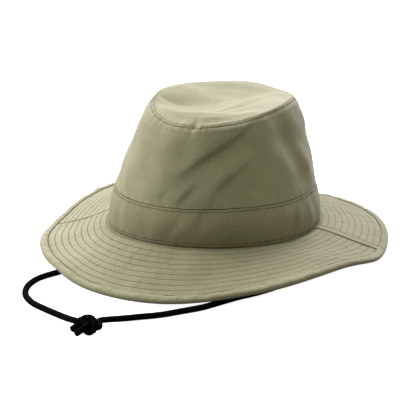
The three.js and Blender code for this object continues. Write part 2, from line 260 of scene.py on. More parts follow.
def frames_along(line):
    """The directions sideways and up along a line, turned as little as possible."""
    forward = np.gradient(line, axis=0)
    forward /= np.linalg.norm(forward, axis=1, keepdims=True)
    side = np.cross(forward[0], (0, 0, 1) if abs(forward[0][2]) < 0.9 else (0, 1, 0))
    sides = []
    for ahead in forward:
        side = side - ahead * np.dot(side, ahead)
        side = side / np.linalg.norm(side)
        sides.append(side)
    sides = np.array(sides)
    return sides, np.cross(sides, forward)


def braid_height(way, around):
    """How high the braid's skin stands, from 0 in its pits to 1 on its strands."""
    one = CORD_STRANDS * around + way / STRAND_STEP
    other = CORD_STRANDS * around - way / STRAND_STEP
    over = (np.floor(one) + np.floor(other)) % 2 < 1
    first, second = np.sin(np.pi * (one % 1)), np.sin(np.pi * (other % 1))
    return np.where(over, first * (0.55 + 0.45 * second), second * (0.55 + 0.45 * first))


def braided_tube(name, points, round_start, round_end):
    """A braided cord along a route; a rounded end is closed, and the other goes into a tab or knot."""
    line, way = smooth_route(points, CORD_POINT_STEP)
    sides, ups = frames_along(line)
    radius = np.full(len(way), CORD_SWELL * CORD_DIAMETER / 2)
    for distance, is_round in ((way, round_start), (way[-1] - way, round_end)):
        if is_round:
            depth = np.clip(1 - distance / ROUND_END_REACH, 0, 1)
            radius = radius * np.sqrt(1 - depth**3)
        else:
            radius = np.where(distance < 1e-9, 0, radius)

    def place(column, around):
        at = np.round(column).astype(int)
        skin = 1 - BRAID_RISE / (CORD_DIAMETER / 2) * (BRAID_BASE - 2 * braid_height(way[at], around))
        out = (radius[at] * skin)[..., None]
        angle = (2 * np.pi * around)[..., None]
        return line[at] + out * (np.cos(angle) * sides[at] + np.sin(angle) * ups[at])

    def flat(column, around):
        return np.stack([way[np.round(column).astype(int)], around * np.pi * CORD_DIAMETER], axis=-1)

    along = np.arange(len(way))
    tube = laid_grid(name, along, np.linspace(0, 1, POINTS_ROUND_CORD + 1), place, flat)
    columns, rows = np.meshgrid(along, np.linspace(0, 1, POINTS_ROUND_CORD + 1))
    add_mark(tube, "strand", braid_height(way[columns], rows))
    join_edges(tube)
    turn_faces_out(tube)
    bpy.ops.object.shade_smooth()
    return tube, line, way[-1]


# %% Lay both sides of the cord
cord_right, right_line, right_length = braided_tube("cord_right", RIGHT_CORD, False, False)
cord_left, left_line, left_length = braided_tube("cord_left", LEFT_CORD, False, False)
print("cord", round(right_length, 3), "and", round(left_length, 3), "m")

# %% [markdown]
# ## The knot
#
# The two cords are tied together in one knot. Each strand is laid over, round and under the other, and its
# short end comes out at the front left. The ends were cut hot, so they are closed and a little rounded.

# %% Tie the knot
KNOT_LIFT = 0.0006
KNOT_STRAND_RIGHT = [
    (-0.0399, -0.2244, 0.0061),
    (-0.0366, -0.2246, 0.0078),
    (-0.0325, -0.2250, 0.0102),
    (-0.0276, -0.2268, 0.0110),
    (-0.0236, -0.2302, 0.0090),
    (-0.0236, -0.2330, 0.0048),
    (-0.0272, -0.2330, 0.0022),
    (-0.0312, -0.2296, 0.0022),
    (-0.0328, -0.2256, 0.0036),
    (-0.0352, -0.2254, 0.0052),
    (-0.0386, -0.2284, 0.0040),
    (-0.0416, -0.2328, 0.0024),
]
KNOT_STRAND_LEFT = [
    (-0.0253, -0.2222, 0.0062),
    (-0.0222, -0.2246, 0.0056),
    (-0.0216, -0.2282, 0.0052),
    (-0.0246, -0.2304, 0.0056),
    (-0.0292, -0.2286, 0.0062),
    (-0.0336, -0.2262, 0.0076),
    (-0.0352, -0.2228, 0.0070),
    (-0.0320, -0.2206, 0.0064),
    (-0.0286, -0.2226, 0.0084),
    (-0.0276, -0.2262, 0.0072),
    (-0.0288, -0.2318, 0.0070),
    (-0.0322, -0.2362, 0.0044),
    (-0.0355, -0.2405, 0.0024),
]


def tie_knot():
    strands = (KNOT_STRAND_RIGHT, KNOT_STRAND_LEFT)
    right, left = (np.array(strand) + (0, 0, KNOT_LIFT) for strand in strands)
    one, *_ = braided_tube("knot_strand_right", right, False, True)
    other, *_ = braided_tube("knot_strand_left", left, False, True)
    select_only(one, other)
    bpy.ops.object.join()
    one.name = one.data.name = "cord_knot_tied"
    return one


knot = tie_knot()
for piece, node in ((cord_right, "chin_cord_right"), (cord_left, "chin_cord_left"), (knot, "cord_knot")):
    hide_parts(node)
    report(piece)
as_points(right_line[::8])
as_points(left_line[::8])

# %% [markdown]
# ## The hat's form
#
# A hat like this is drafted from ovals and heights: the seam of crown and brim, the top of the band and the
# seam of the tip are ovals, and a short table gives their heights and the fall of the brim every 30 degrees
# round the head. A smooth closed curve runs through each column of the table.

# %% The ovals and the stations round the head
Oval = namedtuple("Oval", "half_width half_length x y")
BASE_OVAL = Oval(0.0866, 0.1034, 0, 0)
BAND_OVAL = Oval(0.0828, 0.1, 0, 0.0025)
TIP_OVAL = Oval(0.0535, 0.079, 0.007, 0.001)

GAP = 0.0003
CROWN_CLOTH = 0.0012
BAND_CLOTH = 0.0014
BRIM_CLOTH = 0.0016
BINDING_CLOTH = 0.0013
BRIM_WIDTH = 0.0613
BINDING_WIDTH = 0.0073

Station = namedtuple("Station", "joint band tip inner_fall rim_fall")
STATIONS = [
    Station(0.0225, 0.032, 0.1295, 4, 32),
    Station(0.0215, 0.031, 0.125, 7, 21),
    Station(0.0235, 0.0305, 0.1215, 14, 20.5),
    Station(0.0255, 0.0305, 0.1235, 21, 27),
    Station(0.0275, 0.031, 0.1245, 8, 13),
    Station(0.028, 0.0315, 0.1275, 6, 18),
    Station(0.0245, 0.0315, 0.1305, 16, 20.5),
    Station(0.0255, 0.031, 0.1275, 28, 4.5),
    Station(0.029, 0.0295, 0.1238, 29.5, 23),
    Station(0.0305, 0.029, 0.124, 30, 25),
    Station(0.029, 0.0307, 0.1263, 17, 15),
    Station(0.0255, 0.0315, 0.129, 6, 7),
]


def round_head(column, angle):
    """A smooth closed curve through one column of the stations."""
    values = np.array([getattr(row, column) for row in STATIONS])
    place = (angle % 360) / (360 / len(values))
    row = np.floor(place).astype(int)
    part = place - row
    a, b, c, d = (values[(row + step) % len(values)] for step in (-1, 0, 1, 2))
    bend = 2 * a - 5 * b + 4 * c - d
    twist = 3 * b - 3 * c + d - a
    return b + 0.5 * ((c - a) * part + bend * part**2 + twist * part**3)


def bell(distance, half_width):
    return np.exp(-((distance / half_width) ** 2))


def turn_between(angle, other):
    return (angle - other + 180) % 360 - 180


def lerp(start, stop, share):
    return start + (stop - start) * share


def outward(oval, angle):
    """The direction straight out of an oval, in plan."""
    turn = np.radians(angle)
    x, y = np.cos(turn) * oval.half_length, np.sin(turn) * oval.half_width
    length = np.hypot(x, y)
    return np.stack([x / length, y / length, np.zeros_like(x)], axis=-1)


def on_oval(oval, angle, height):
    turn = np.radians(angle)
    x = oval.x + oval.half_width * np.cos(turn)
    y = oval.y + oval.half_length * np.sin(turn)
    return np.stack([x, y, height + np.zeros_like(x)], axis=-1)


# %% [markdown]
# ## Soft unevenness
#
# No sewn cloth is even. A few waves of different lengths and directions, added up, give a surface that
# never repeats in view, and each seam's pucker and each panel's ripple takes its own set of waves. The
# sets are seeded, so they come out the same each time.

# %% Waves that add up to an uneven surface
def uneven(seed, length, along, across, waves=14):
    """Values of about -1 to 1 that wander over a length, at places given in metres."""
    pick = np.random.default_rng(seed)
    total = np.zeros(np.broadcast(along, across).shape)
    for _ in range(waves):
        heading = pick.uniform(0, 2 * np.pi)
        size = length * pick.uniform(0.6, 1.8)
        phase = pick.uniform(0, 2 * np.pi)
        way = along * np.cos(heading) + across * np.sin(heading)
        total = total + np.sin(way * 2 * np.pi / size + phase)
    return total / math.sqrt(waves / 2)


BLEND_ANGLE = 30


def uneven_round(seed, length, angle, per_degree, across):
    """The same round the head: over its last thirty degrees it passes into its own start."""
    turn = angle % 360
    part = np.clip((turn - (360 - BLEND_ANGLE)) / BLEND_ANGLE, 0, 1)
    part = part**2 * (3 - 2 * part)
    here = uneven(seed, length, turn * per_degree, across)
    return lerp(here, uneven(seed, length, (turn - 360) * per_degree, across), part)


# %% [markdown]
# ## Folds
#
# Soft cloth sags into folds. Each fold is a short route on the flat cloth with a height, which is negative
# for a valley. It has a width on its left and one on its right, seen along the route, so that one side can
# be steep and the other gentle, and it fades out at both ends. A power of 2 gives a round top, a lower one
# a sharper crease.

# %% The height that a set of folds gives
Fold = namedtuple("Fold", "height left right route power", defaults=[2])


def fold_height(fold, across, up):
    """The height of one fold at places on the flat cloth."""
    route = np.array(fold.route, dtype=float)
    steps = np.diff(route, axis=0)
    lengths = np.hypot(steps[:, 0], steps[:, 1])
    starts = np.concatenate([[0], np.cumsum(lengths)])
    nearest = np.full(np.broadcast(across, up).shape, np.inf)
    width, along = np.ones_like(nearest), np.zeros_like(nearest)
    for (x, y), (run, climb), length, before in zip(route, steps, lengths, starts):
        part = np.clip(((across - x) * run + (up - y) * climb) / length**2, 0, 1)
        away_x, away_y = across - x - part * run, up - y - part * climb
        distance = np.hypot(away_x, away_y)
        closer = distance < nearest
        to_left = (away_y * run - away_x * climb) / (length * np.maximum(distance, 1e-6))
        nearest = np.where(closer, distance, nearest)
        width = np.where(closer, lerp(fold.right, fold.left, (1 + to_left) / 2), width)
        along = np.where(closer, (before + part * length) / starts[-1], along)
    fade = np.sin(np.pi * np.clip(0.12 + 0.76 * along, 0, 1))
    return fold.height * fade * np.exp(-((nearest / width) ** fold.power))


def folds_height(folds, across, up):
    return sum((fold_height(fold, across, up) for fold in folds), np.zeros(np.broadcast(across, up).shape))


# %% [markdown]
# ## The shape of the crown
#
# The soft wall leans in from the band to the tip, swells a little on the way, and sags into folds. The
# routes of its folds are given as an angle round the head and a share of the wall's height. The strongest
# fold runs down across the front: the cloth stands proud on its upper side and drops on its lower side.

# %% The wall's swell and folds
Swell = namedtuple("Swell", "share right left")
SWELL = [
    Swell(0, 0, 0),
    Swell(0.12, 0.0005, 0.0015),
    Swell(0.3, 0.002, 0.003),
    Swell(0.5, 0.0025, 0.0035),
    Swell(0.7, 0.004, 0.0035),
    Swell(0.85, 0.004, 0.0035),
    Swell(0.94, 0.0025, 0.003),
    Swell(1, 0, 0),
]
WALL_HEIGHT = 0.068
WALL_PER_DEGREE = 0.00135
FREE_ABOVE_BAND = 0.12
FREE_BELOW_TIP = 0.05
BAND_HEIGHT = 0.0305
BAND_PER_DEGREE = WALL_PER_DEGREE * 1.15
WALL_FOLDS = [
    Fold(0.0026, 0.0042, 0.0105, [(311, 0.96), (298, 0.84), (289, 0.75), (278.5, 0.63), (270, 0.5)], 1.6),
    Fold(-0.0037, 0.012, 0.0048, [(313, 0.88), (300, 0.75), (291, 0.66), (280.5, 0.54), (272, 0.41)]),
    Fold(0.0019, 0.004, 0.009, [(308, 0.58), (302, 0.49), (294.5, 0.39), (289, 0.26), (286, 0.05)], 1.6),
    Fold(-0.0023, 0.011, 0.0045, [(312, 0.51), (306, 0.43), (298, 0.33), (292.5, 0.2), (289.5, 0.02)]),
    Fold(0.0007, 0.003, 0.005, [(274, 0.3), (270, 0.18), (266, 0.05)]),
    Fold(-0.0012, 0.005, 0.003, [(279, 0.28), (274, 0.17), (269, 0.04)]),
    Fold(-0.0006, 0.003, 0.004, [(260, 0.2), (259, 0.12), (261, 0.02)]),
    Fold(-0.0009, 0.004, 0.004, [(303, 0.08), (304.5, 0.18), (308.5, 0.22), (313, 0.17), (315, 0.08)]),
    Fold(-0.0035, 0.014, 0.0105, [(331, 0.98), (337.5, 0.77), (346.5, 0.5), (348.5, 0.27), (351, 0.05)]),
    Fold(0.0008, 0.008, 0.010, [(325, 0.9), (329, 0.8), (332.5, 0.57), (333.5, 0.34), (337, 0.1)]),
    Fold(0.0014, 0.008, 0.007, [(347.5, 0.72), (354, 0.47), (359, 0.22), (1, 0.05)]),
    Fold(0.0009, 0.004, 0.005, [(221, 0.3), (224, 0.18), (231, 0.02)]),
    Fold(-0.0010, 0.014, 0.014, [(236, 0.9), (246, 0.2)]),
    Fold(-0.0020, 0.012, 0.012, [(60, 0.95), (82, 0.2)]),
    Fold(-0.0018, 0.013, 0.013, [(126, 0.9), (112, 0.15)]),
]
BAND_FOLDS = [
    Fold(-0.0010, 0.004, 0.005, [(271, 0.8), (268, 0.5), (264, 0.15)]),
    Fold(-0.0012, 0.004, 0.004, [(287, 0.97), (283, 0.8), (280, 0.48), (277, 0.2)]),
    Fold(0.0007, 0.004, 0.004, [(294, 0.9), (289, 0.6), (286, 0.3)]),
    Fold(-0.0009, 0.008, 0.006, [(299, 0.24), (312, 0.3), (332, 0.4)]),
    Fold(0.0007, 0.004, 0.006, [(300, 0.75), (316, 0.72), (330, 0.76)]),
    Fold(0.0005, 0.005, 0.004, [(347, 1), (351.5, 0.7), (352, 0.4), (354, 0.1)]),
    Fold(-0.0008, 0.006, 0.006, [(353, 1), (356, 0.7), (359, 0.4), (0, 0.1)]),
    Fold(0.0006, 0.003, 0.003, [(341, 0.8), (339, 0.6), (339, 0.25)]),
    Fold(-0.0008, 0.003, 0.004, [(336, 0.6), (334, 0.35), (333, 0.1)]),
    Fold(0.0004, 0.004, 0.005, [(231, 0.95), (234, 0.6), (238, 0.2)]),
    Fold(-0.0003, 0.006, 0.006, [(222, 0.9), (226, 0.5), (229, 0.15)]),
]


def folds_round(folds, height, angle, share):
    """Folds on the flat wall, each counted in metres from its own start."""
    total = np.zeros(np.broadcast(angle, share).shape)
    for fold in folds:
        start = fold.route[0][0]
        route = [(turn_between(turn, start) * WALL_PER_DEGREE, part * height) for turn, part in fold.route]
        across = turn_between(angle, start) * WALL_PER_DEGREE
        total += fold_height(fold._replace(route=route), across, share * height)
    return total


def swell_at(angle, share):
    """How far the wall swells out, passing from its right side's figures to its left side's."""
    shares = [row.share for row in SWELL]
    left = np.interp(share, shares, [row.left for row in SWELL])
    right = np.interp(share, shares, [row.right for row in SWELL])
    return lerp(right, left, (1 + np.cos(np.radians(angle))) / 2)


def wall_folds(angle, share):
    """The wall's folds, which give way at its foot to what the band's folds do to the seam."""
    height = folds_round(WALL_FOLDS, WALL_HEIGHT, angle, share)
    free = np.clip(share / FREE_ABOVE_BAND, 0, 1)
    return height * np.clip((1 - share) / FREE_BELOW_TIP, 0, 1) * free + seam_push(angle) * (1 - free)


def band_folds(angle, share):
    return folds_round(BAND_FOLDS, BAND_HEIGHT, angle, share)


def seam_push(angle):
    """How far the folds push the band's upper edge, where the wall goes behind it."""
    return band_folds(angle, np.ones_like(angle))


# %% Places on the band, the tip's seam and the wall
NOTCH_ANGLE = 269
NOTCH_HALF_ANGLE = 3.5
NOTCH_DROP = 0.0035
NOTCH_INWARD = 0.001


def band_point(angle, share, inset):
    """A place on the band: its share of the way up, and how far inside the drafted form."""
    joint = round_head("joint", angle)
    foot = on_oval(BASE_OVAL, angle, joint + BRIM_CLOTH / 2 + GAP)
    head = on_oval(BAND_OVAL, angle, joint + round_head("band", angle))
    return lerp(foot, head, share[..., None]) - outward(BASE_OVAL, angle) * inset[..., None]


def tip_seam(angle, inset, pinched=1.0):
    """A place on the tip's seam, which drops and turns in at the notch in front."""
    pinch = pinched * bell(turn_between(angle, NOTCH_ANGLE), NOTCH_HALF_ANGLE)
    height = round_head("tip", angle) - NOTCH_DROP * pinch
    inward = (inset + NOTCH_INWARD * pinch)[..., None]
    return on_oval(TIP_OVAL, angle, height) - outward(TIP_OVAL, angle) * inward


def wall_point(angle, share, inset):
    """A place on the wall, between the band's upper edge and the tip's seam."""
    foot = band_point(angle, np.ones_like(share), np.full_like(share, BAND_CLOTH + GAP))
    push = swell_at(angle, share) + wall_folds(angle, share) - inset
    seam = tip_seam(angle, np.zeros_like(share), pinched=np.clip(share, 0, 1) ** 20)
    return lerp(foot, seam, share[..., None]) + outward(BASE_OVAL, angle) * push[..., None]


# %% [markdown]
# ## The crown's wall
#
# The wall is one sheet, laid from behind the band up to the tip. At the top its edge is turned in and
# stitched down two millimetres below the seam, which gives a narrow raised welt with a row of stitches
# under it. Solidify gives the sheet its thickness inwards. A mark named crease is kept at each point, and
# the finish paints shade there: in the groove along the stitches, and in the joint where the wall meets
# the tip, darkest on the wearer's right.

# %% Lay the crown's wall
WALL_SLANT = 0.076
WELT_WIDTH = 0.002
WELT_RISE = 0.0003
WELT_ROLL = 0.0002
TIP_EDGE_INSET = 0.0001
LOOSE_EDGE_INSET = 0.0002
LOOSE_EDGE_ANGLE = 195
LOOSE_EDGE_HALF_ANGLE = 20
PAINTED_SHADE_WIDTH = 0.0004
OVER_BAND = 0.0015
OVER_BAND_STEP = 0.0006
WELT_STEP = 0.0005
TIP_SEAM_PUCKER = 0.00022
BAND_SEAM_PUCKER = 0.0002
WALL_RIPPLE = 0.00045
STITCH_SINK = 0.0002
STITCH_HALF_WIDTH = 0.00032
COLUMNS_ROUND = 480

BEHIND_BAND = [-1, -0.5, -0.06, -0.03]
BEHIND_INSET = 0.0025
BEHIND_FADE = 0.06
BELOW_TIP = np.array(
    [0.0055, 0.0045, 0.0036, 0.0029, 0.0024, 0.0021, 0.0018, 0.0014, 0.001, 0.0006, 0.0003, 0]
)
WALL_ROWS = stations(
    [0, 0.004, 0.008, 0.014, 0.022],
    np.linspace(0.032, 0.92, 50),
    1 - BELOW_TIP / WALL_SLANT,
)


def at_loose_edge(angle):
    """1 at the wearer's right, where the tip's edge sits loosest, falling to 0 away from it."""
    return bell(turn_between(angle, LOOSE_EDGE_ANGLE), LOOSE_EDGE_HALF_ANGLE)


def rolled_edge(distance, radius):
    """How far a turned edge rounds back, at a distance from the edge."""
    depth = np.clip(1 - distance / radius, 0, 1)
    return radius * (1 - np.sqrt(1 - depth**2))


def stitch_groove(distance):
    return bell(distance, STITCH_HALF_WIDTH)


def pucker(seed, angle, per_degree, distance, reach):
    """Small ripples along a seam that die out over a reach on both sides of it."""
    ripple = uneven_round(seed, 0.0065, angle, per_degree, distance * 0.35)
    return ripple * np.exp(-np.abs(distance) / reach)


def wall_relief(angle, share):
    """How far the cloth stands out of the wall's smooth form: welt, puckers, ripples and stitches."""
    below = (1 - share) * WALL_SLANT
    above = share * WALL_SLANT
    welt = WELT_RISE * np.clip((WELT_WIDTH - below) / WELT_STEP + 0.5, 0, 1)
    near_seam = TIP_SEAM_PUCKER * pucker(11, angle, WALL_PER_DEGREE, below - WELT_WIDTH, 0.004)
    near_band = BAND_SEAM_PUCKER * pucker(12, angle, WALL_PER_DEGREE, above, 0.006)
    over_band = OVER_BAND * np.clip(above / OVER_BAND_STEP, 0, 1)
    free = np.clip(share / 0.2, 0, 1) * np.clip((1 - share) / 0.2, 0, 1)
    ripple = WALL_RIPPLE * uneven_round(13, 0.034, angle, WALL_PER_DEGREE, above) * free
    groove = STITCH_SINK * stitch_groove(below - WELT_WIDTH)
    return welt + near_seam + near_band + over_band + ripple - groove - rolled_edge(below, WELT_ROLL)


def lay_wall(column, row):
    angle = column
    inset = BAND_CLOTH + GAP + BEHIND_INSET * np.clip(-row / BEHIND_FADE, 0, 1) - seam_push(angle)
    behind = band_point(angle, np.clip(1 + row, 0, 1), inset)
    share = np.clip(row, 0, 1)
    above = wall_point(angle, share, -wall_relief(angle, share))
    return np.where((row < 0)[..., None], behind, above)


ROUND = np.linspace(0, 360, COLUMNS_ROUND + 1)
wall_rows = np.concatenate([BEHIND_BAND, WALL_ROWS])
wall = laid_grid(
    "crown_wall_cloth",
    ROUND,
    wall_rows,
    lay_wall,
    lambda angle, row: np.stack([angle * WALL_PER_DEGREE, row * WALL_SLANT], axis=-1),
)
columns, rows = np.meshgrid(ROUND, wall_rows)
below = (1 - rows) * WALL_SLANT
# Painted shade: the groove under the welt's stitches, and a dark line in the joint below the tip's seam,
# strongest at the loose edge.
painted_joint_shade = bell(below, PAINTED_SHADE_WIDTH) * (0.3 + 0.7 * at_loose_edge(columns))
add_mark(wall, "crease", 0.5 * stitch_groove(below - WELT_WIDTH) + painted_joint_shade)
join_edges(wall)
apply_modifier(wall, "SOLIDIFY", thickness=CROWN_CLOTH, offset=-1)
bpy.ops.object.shade_smooth_by_angle(angle=SMOOTH_ANGLE)
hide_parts("crown_wall")
report(wall)

# %% [markdown]
# ## The tip
#
# The tip is an oval of cloth that sags between its seams. A crest crosses it behind the front seam: in
# front of the crest the cloth falls steeply to the notch, and behind it the cloth sinks in a hollow. The
# sheet is a ring of rows from the seam to the middle, where the last row closes in a point.

# %% Lay the tip
DISH_DEPTH = 0.001
TIP_MIDDLE_RISE = 0.001
TIP_ROLL = 0.0002
TIP_PER_DEGREE = 0.0012
TIP_RIPPLE = 0.00016
TIP_PUCKER = 0.00016
FREE_OF_SEAM = 0.007
TIP_FOLDS = [
    Fold(
        0.0062,
        0.019,
        0.013,
        [
            (-0.032, -0.040),
            (-0.022, -0.052),
            (-0.010, -0.060),
            (0.004, -0.062),
            (0.017, -0.059),
            (0.034, -0.051),
        ],
        1.4,
    ),
    Fold(-0.0042, 0.014, 0.020, [(-0.044, -0.026), (-0.029, -0.016), (-0.015, -0.010), (0, -0.010)]),
    Fold(
        0.0034,
        0.012,
        0.011,
        [(-0.048, 0.016), (-0.034, 0.024), (-0.018, 0.017), (0, -0.001), (0.01, -0.016)],
    ),
    Fold(-0.0020, 0.012, 0.010, [(-0.018, 0.034), (-0.002, 0.026), (0.012, 0.022)]),
    Fold(0.0034, 0.014, 0.012, [(-0.026, 0.056), (-0.004, 0.060), (0.016, 0.062)]),
    Fold(
        0.0015,
        0.006,
        0.005,
        [(-0.001, -0.050), (0.008, -0.042), (0.015, -0.030), (0.024, -0.014), (0.028, 0.009), (0.029, 0.032)],
    ),
    Fold(0.0012, 0.004, 0.005, [(0.018, -0.052), (0.026, -0.036), (0.032, -0.027), (0.040, -0.016)]),
    Fold(-0.0014, 0.005, 0.004, [(-0.048, -0.012), (-0.036, -0.013), (-0.022, -0.013)]),
    Fold(0.0012, 0.003, 0.004, [(-0.046, -0.018), (-0.037, -0.021), (-0.029, -0.027), (-0.022, -0.034)]),
    Fold(0.0014, 0.005, 0.004, [(0.004, -0.075), (0.012, -0.071), (0.026, -0.064)]),
    Fold(-0.0012, 0.006, 0.006, [(0.046, 0.034), (0.052, 0.022), (0.056, 0.008)]),
]


def tip_point(angle, share):
    inset = TIP_EDGE_INSET + LOOSE_EDGE_INSET * at_loose_edge(angle)
    edge = tip_seam(angle, inset - wall_relief(angle, np.ones_like(share)), pinched=share**16)
    middle_height = round_head("tip", np.array([90.0]))[0] + TIP_MIDDLE_RISE
    middle = np.array([TIP_OVAL.x, TIP_OVAL.y, middle_height])
    point = lerp(middle, edge, share[..., None])
    x, y = point[..., 0], point[..., 1]
    from_edge = (1 - share) * TIP_OVAL.half_width
    inside = np.clip(from_edge / FREE_OF_SEAM, 0, 1)
    dish = DISH_DEPTH * (1 - share**3)
    folds = folds_height(TIP_FOLDS, x, y) * inside**0.6
    ripple = TIP_RIPPLE * uneven(21, 0.03, x, y) * inside
    near_seam = TIP_PUCKER * pucker(22, angle, TIP_PER_DEGREE, from_edge, 0.004)
    point[..., 2] += folds + ripple + near_seam - dish - rolled_edge(from_edge, TIP_ROLL)
    return point


TIP_ROWS = 1 - stations(
    np.array([0, 0.00015, 0.0003, 0.0006, 0.001, 0.0016, 0.0025]) / TIP_OVAL.half_width,
    np.linspace(0.07, 1, 60),
)
tip = laid_grid(
    "crown_tip_cloth",
    ROUND,
    TIP_ROWS,
    tip_point,
    lambda angle, row: tip_point(angle, row)[..., :2],
)
columns, rows = np.meshgrid(ROUND, TIP_ROWS)
# Painted shade along the tip's edge, in the joint with the wall, strongest at the loose edge.
painted_edge_shade = bell((1 - rows) * TIP_OVAL.half_width, PAINTED_SHADE_WIDTH)
add_mark(tip, "crease", painted_edge_shade * (0.4 + 0.6 * at_loose_edge(columns)))
join_edges(tip)
apply_modifier(tip, "SOLIDIFY", thickness=CROWN_CLOTH, offset=-1)
bpy.ops.object.shade_smooth_by_angle(angle=SMOOTH_ANGLE)
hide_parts("crown_tip")
report(tip)

# %% [markdown]
# ## The band
#
# The band is a strip of the same cloth round the foot of the crown. Both of its edges are turned under and
# stitched two millimetres in, so each edge is a soft narrow roll with a row of stitches beside it. The
# crease mark paints shade over the whole band, so that it is darker than the wall, most of all towards its
# foot and under its lip, and in the grooves beside its stitches.

# %% Lay the band
BAND_EDGE_ROLL = 0.0007
BAND_STITCH_INSET = 0.002
BAND_BULGE = 0.0018
FRONT_BULGE = 0.0026
FRONT_BULGE_ANGLE = 295
FRONT_BULGE_HALF_ANGLE = 60
BAND_LIP = 0.0009
BAND_LIP_WIDTH = 0.0014
BAND_RIPPLE = 0.0002
BAND_PUCKER = 0.0002

NEAR_BAND_EDGE = np.array([0, 0.0007, 0.0012, 0.0016, 0.002, 0.0024, 0.003, 0.004]) / BAND_HEIGHT
BAND_ROWS = stations(NEAR_BAND_EDGE, np.linspace(0.17, 0.83, 22), 1 - NEAR_BAND_EDGE)


def band_relief(angle, share):
    """How far the cloth stands out of the band's smooth form; its foot has a lip over the brim."""
    per_degree = BAND_PER_DEGREE
    low, high = share * BAND_HEIGHT, (1 - share) * BAND_HEIGHT
    edge = np.minimum(low, high)
    ripple = BAND_RIPPLE * uneven_round(31, 0.022, angle, per_degree, low * 0.4) * np.clip(edge / 0.008, 0, 1)
    near_low = pucker(32, angle, per_degree, low - BAND_STITCH_INSET, 0.003)
    near_high = pucker(33, angle, per_degree, high - BAND_STITCH_INSET, 0.003)
    near_stitch = BAND_PUCKER * (near_low + near_high)
    folds = band_folds(angle, share)
    at_front = bell(turn_between(angle, FRONT_BULGE_ANGLE), FRONT_BULGE_HALF_ANGLE)
    bulge = BAND_BULGE + FRONT_BULGE * at_front
    puff = bulge * np.sin(np.pi * share**0.9)
    lip = BAND_LIP * np.clip(1 - low / BAND_LIP_WIDTH, 0, 1)
    groove = 1.5 * STITCH_SINK * stitch_groove(edge - BAND_STITCH_INSET)
    return puff + ripple + near_stitch + folds + lip - groove


def lay_band(angle, share):
    return band_point(angle, share, -band_relief(angle, share))


band = laid_grid(
    "band_cloth",
    ROUND,
    BAND_ROWS,
    lay_band,
    lambda angle, row: np.stack([angle * BAND_PER_DEGREE, row * BAND_HEIGHT], axis=-1),
)
columns, rows = np.meshgrid(ROUND, BAND_ROWS)
# Painted shade: over the whole band and more towards its foot, a dark line under its lip, and in its stitch
# grooves.
band_painted_shade = 0.3 + 0.5 * (1 - rows) + 0.8 * bell(rows * BAND_HEIGHT, PAINTED_SHADE_WIDTH)
from_band_edge = np.minimum(rows, 1 - rows) * BAND_HEIGHT
add_mark(band, "crease", band_painted_shade + 0.7 * stitch_groove(from_band_edge - BAND_STITCH_INSET))
join_edges(band)
apply_modifier(band, "SOLIDIFY", thickness=BAND_CLOTH, offset=-1)
apply_modifier(
    band,
    "BEVEL",
    width=BAND_EDGE_ROLL * 0.9,
    segments=3,
    limit_method="ANGLE",
    angle_limit=math.radians(60),
)
bpy.ops.object.shade_smooth_by_angle(angle=SMOOTH_ANGLE)
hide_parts("band")
report(band)

# %% [markdown]
# ## The brim
#
# The brim is two halves of doubled cloth, held flat by rows of stitches that run round it side by side.
# Between two rows the cloth rises in a low soft rib, and at each row it is drawn in. The fall of the brim
# changes evenly from the crown to the rim, so its section is an arc whose ends have the two given angles.

# %% Places on the brim
BRIM_PER_DEGREE = 0.00215
ROW_SPACING = 0.0057
ROW_COUNT = 10
LAST_ROW = BRIM_WIDTH - BINDING_WIDTH
STITCH_ROWS = LAST_ROW - ROW_SPACING * np.arange(ROW_COUNT)[::-1]
CORD_LIFT_ANGLE = 228
CORD_LIFT_HALF_ANGLE = 8
CORD_LIFT_HEIGHT = 0.0022
RIB_RISE = 0.00016
DITCH_DEPTH = 0.0006
DITCH_WIDTH = 0.0012
FREE_OF_CROWN = 0.004
BRIM_RIPPLE = 0.00009
BRIM_SWELL = 0.0003
DEEP_ROWS_ANGLE = 200
COLLAR_ANGLE = 185
COLLAR_HALF_ANGLE = 28
COLLAR_WIDTH = 0.0022
COLLAR_HEIGHT = 0.0018


def brim_point(angle, reach, above):
    """A place on the brim: how far out along the cloth, and how far above its middle."""
    inner = np.radians(round_head("inner_fall", angle))
    rim = np.radians(round_head("rim_fall", angle))
    change = (rim - inner) / BRIM_WIDTH
    change = np.where(np.abs(change) < 1e-4, 1e-4, change)
    fall = np.where(reach > 0, inner + change * reach, 0)
    out = np.where(reach > 0, (np.sin(fall) - np.sin(inner)) / change, reach)
    down = np.where(reach > 0, (np.cos(inner) - np.cos(fall)) / change, 0)
    lift = CORD_LIFT_HEIGHT * bell(turn_between(angle, CORD_LIFT_ANGLE), CORD_LIFT_HALF_ANGLE)
    lift = lift * np.clip(reach / BRIM_WIDTH, 0, None) ** 2
    collar = COLLAR_HEIGHT * bell(turn_between(angle, COLLAR_ANGLE), COLLAR_HALF_ANGLE)
    collar = collar * bell(reach, COLLAR_WIDTH)
    height = round_head("joint", angle) - down + lift + collar + above * np.cos(fall)
    push = out + above * np.sin(fall)
    return on_oval(BASE_OVAL, angle, height) + outward(BASE_OVAL, angle) * push[..., None]


def to_nearest_row(reach):
    return np.min(np.abs(reach[..., None] - STITCH_ROWS), axis=-1)


def row_depth(angle):
    """The rows are drawn in most on the wearer's right, and least where the brim falls to the front."""
    return 0.4 + 0.8 * bell(turn_between(angle, DEEP_ROWS_ANGLE), 60)


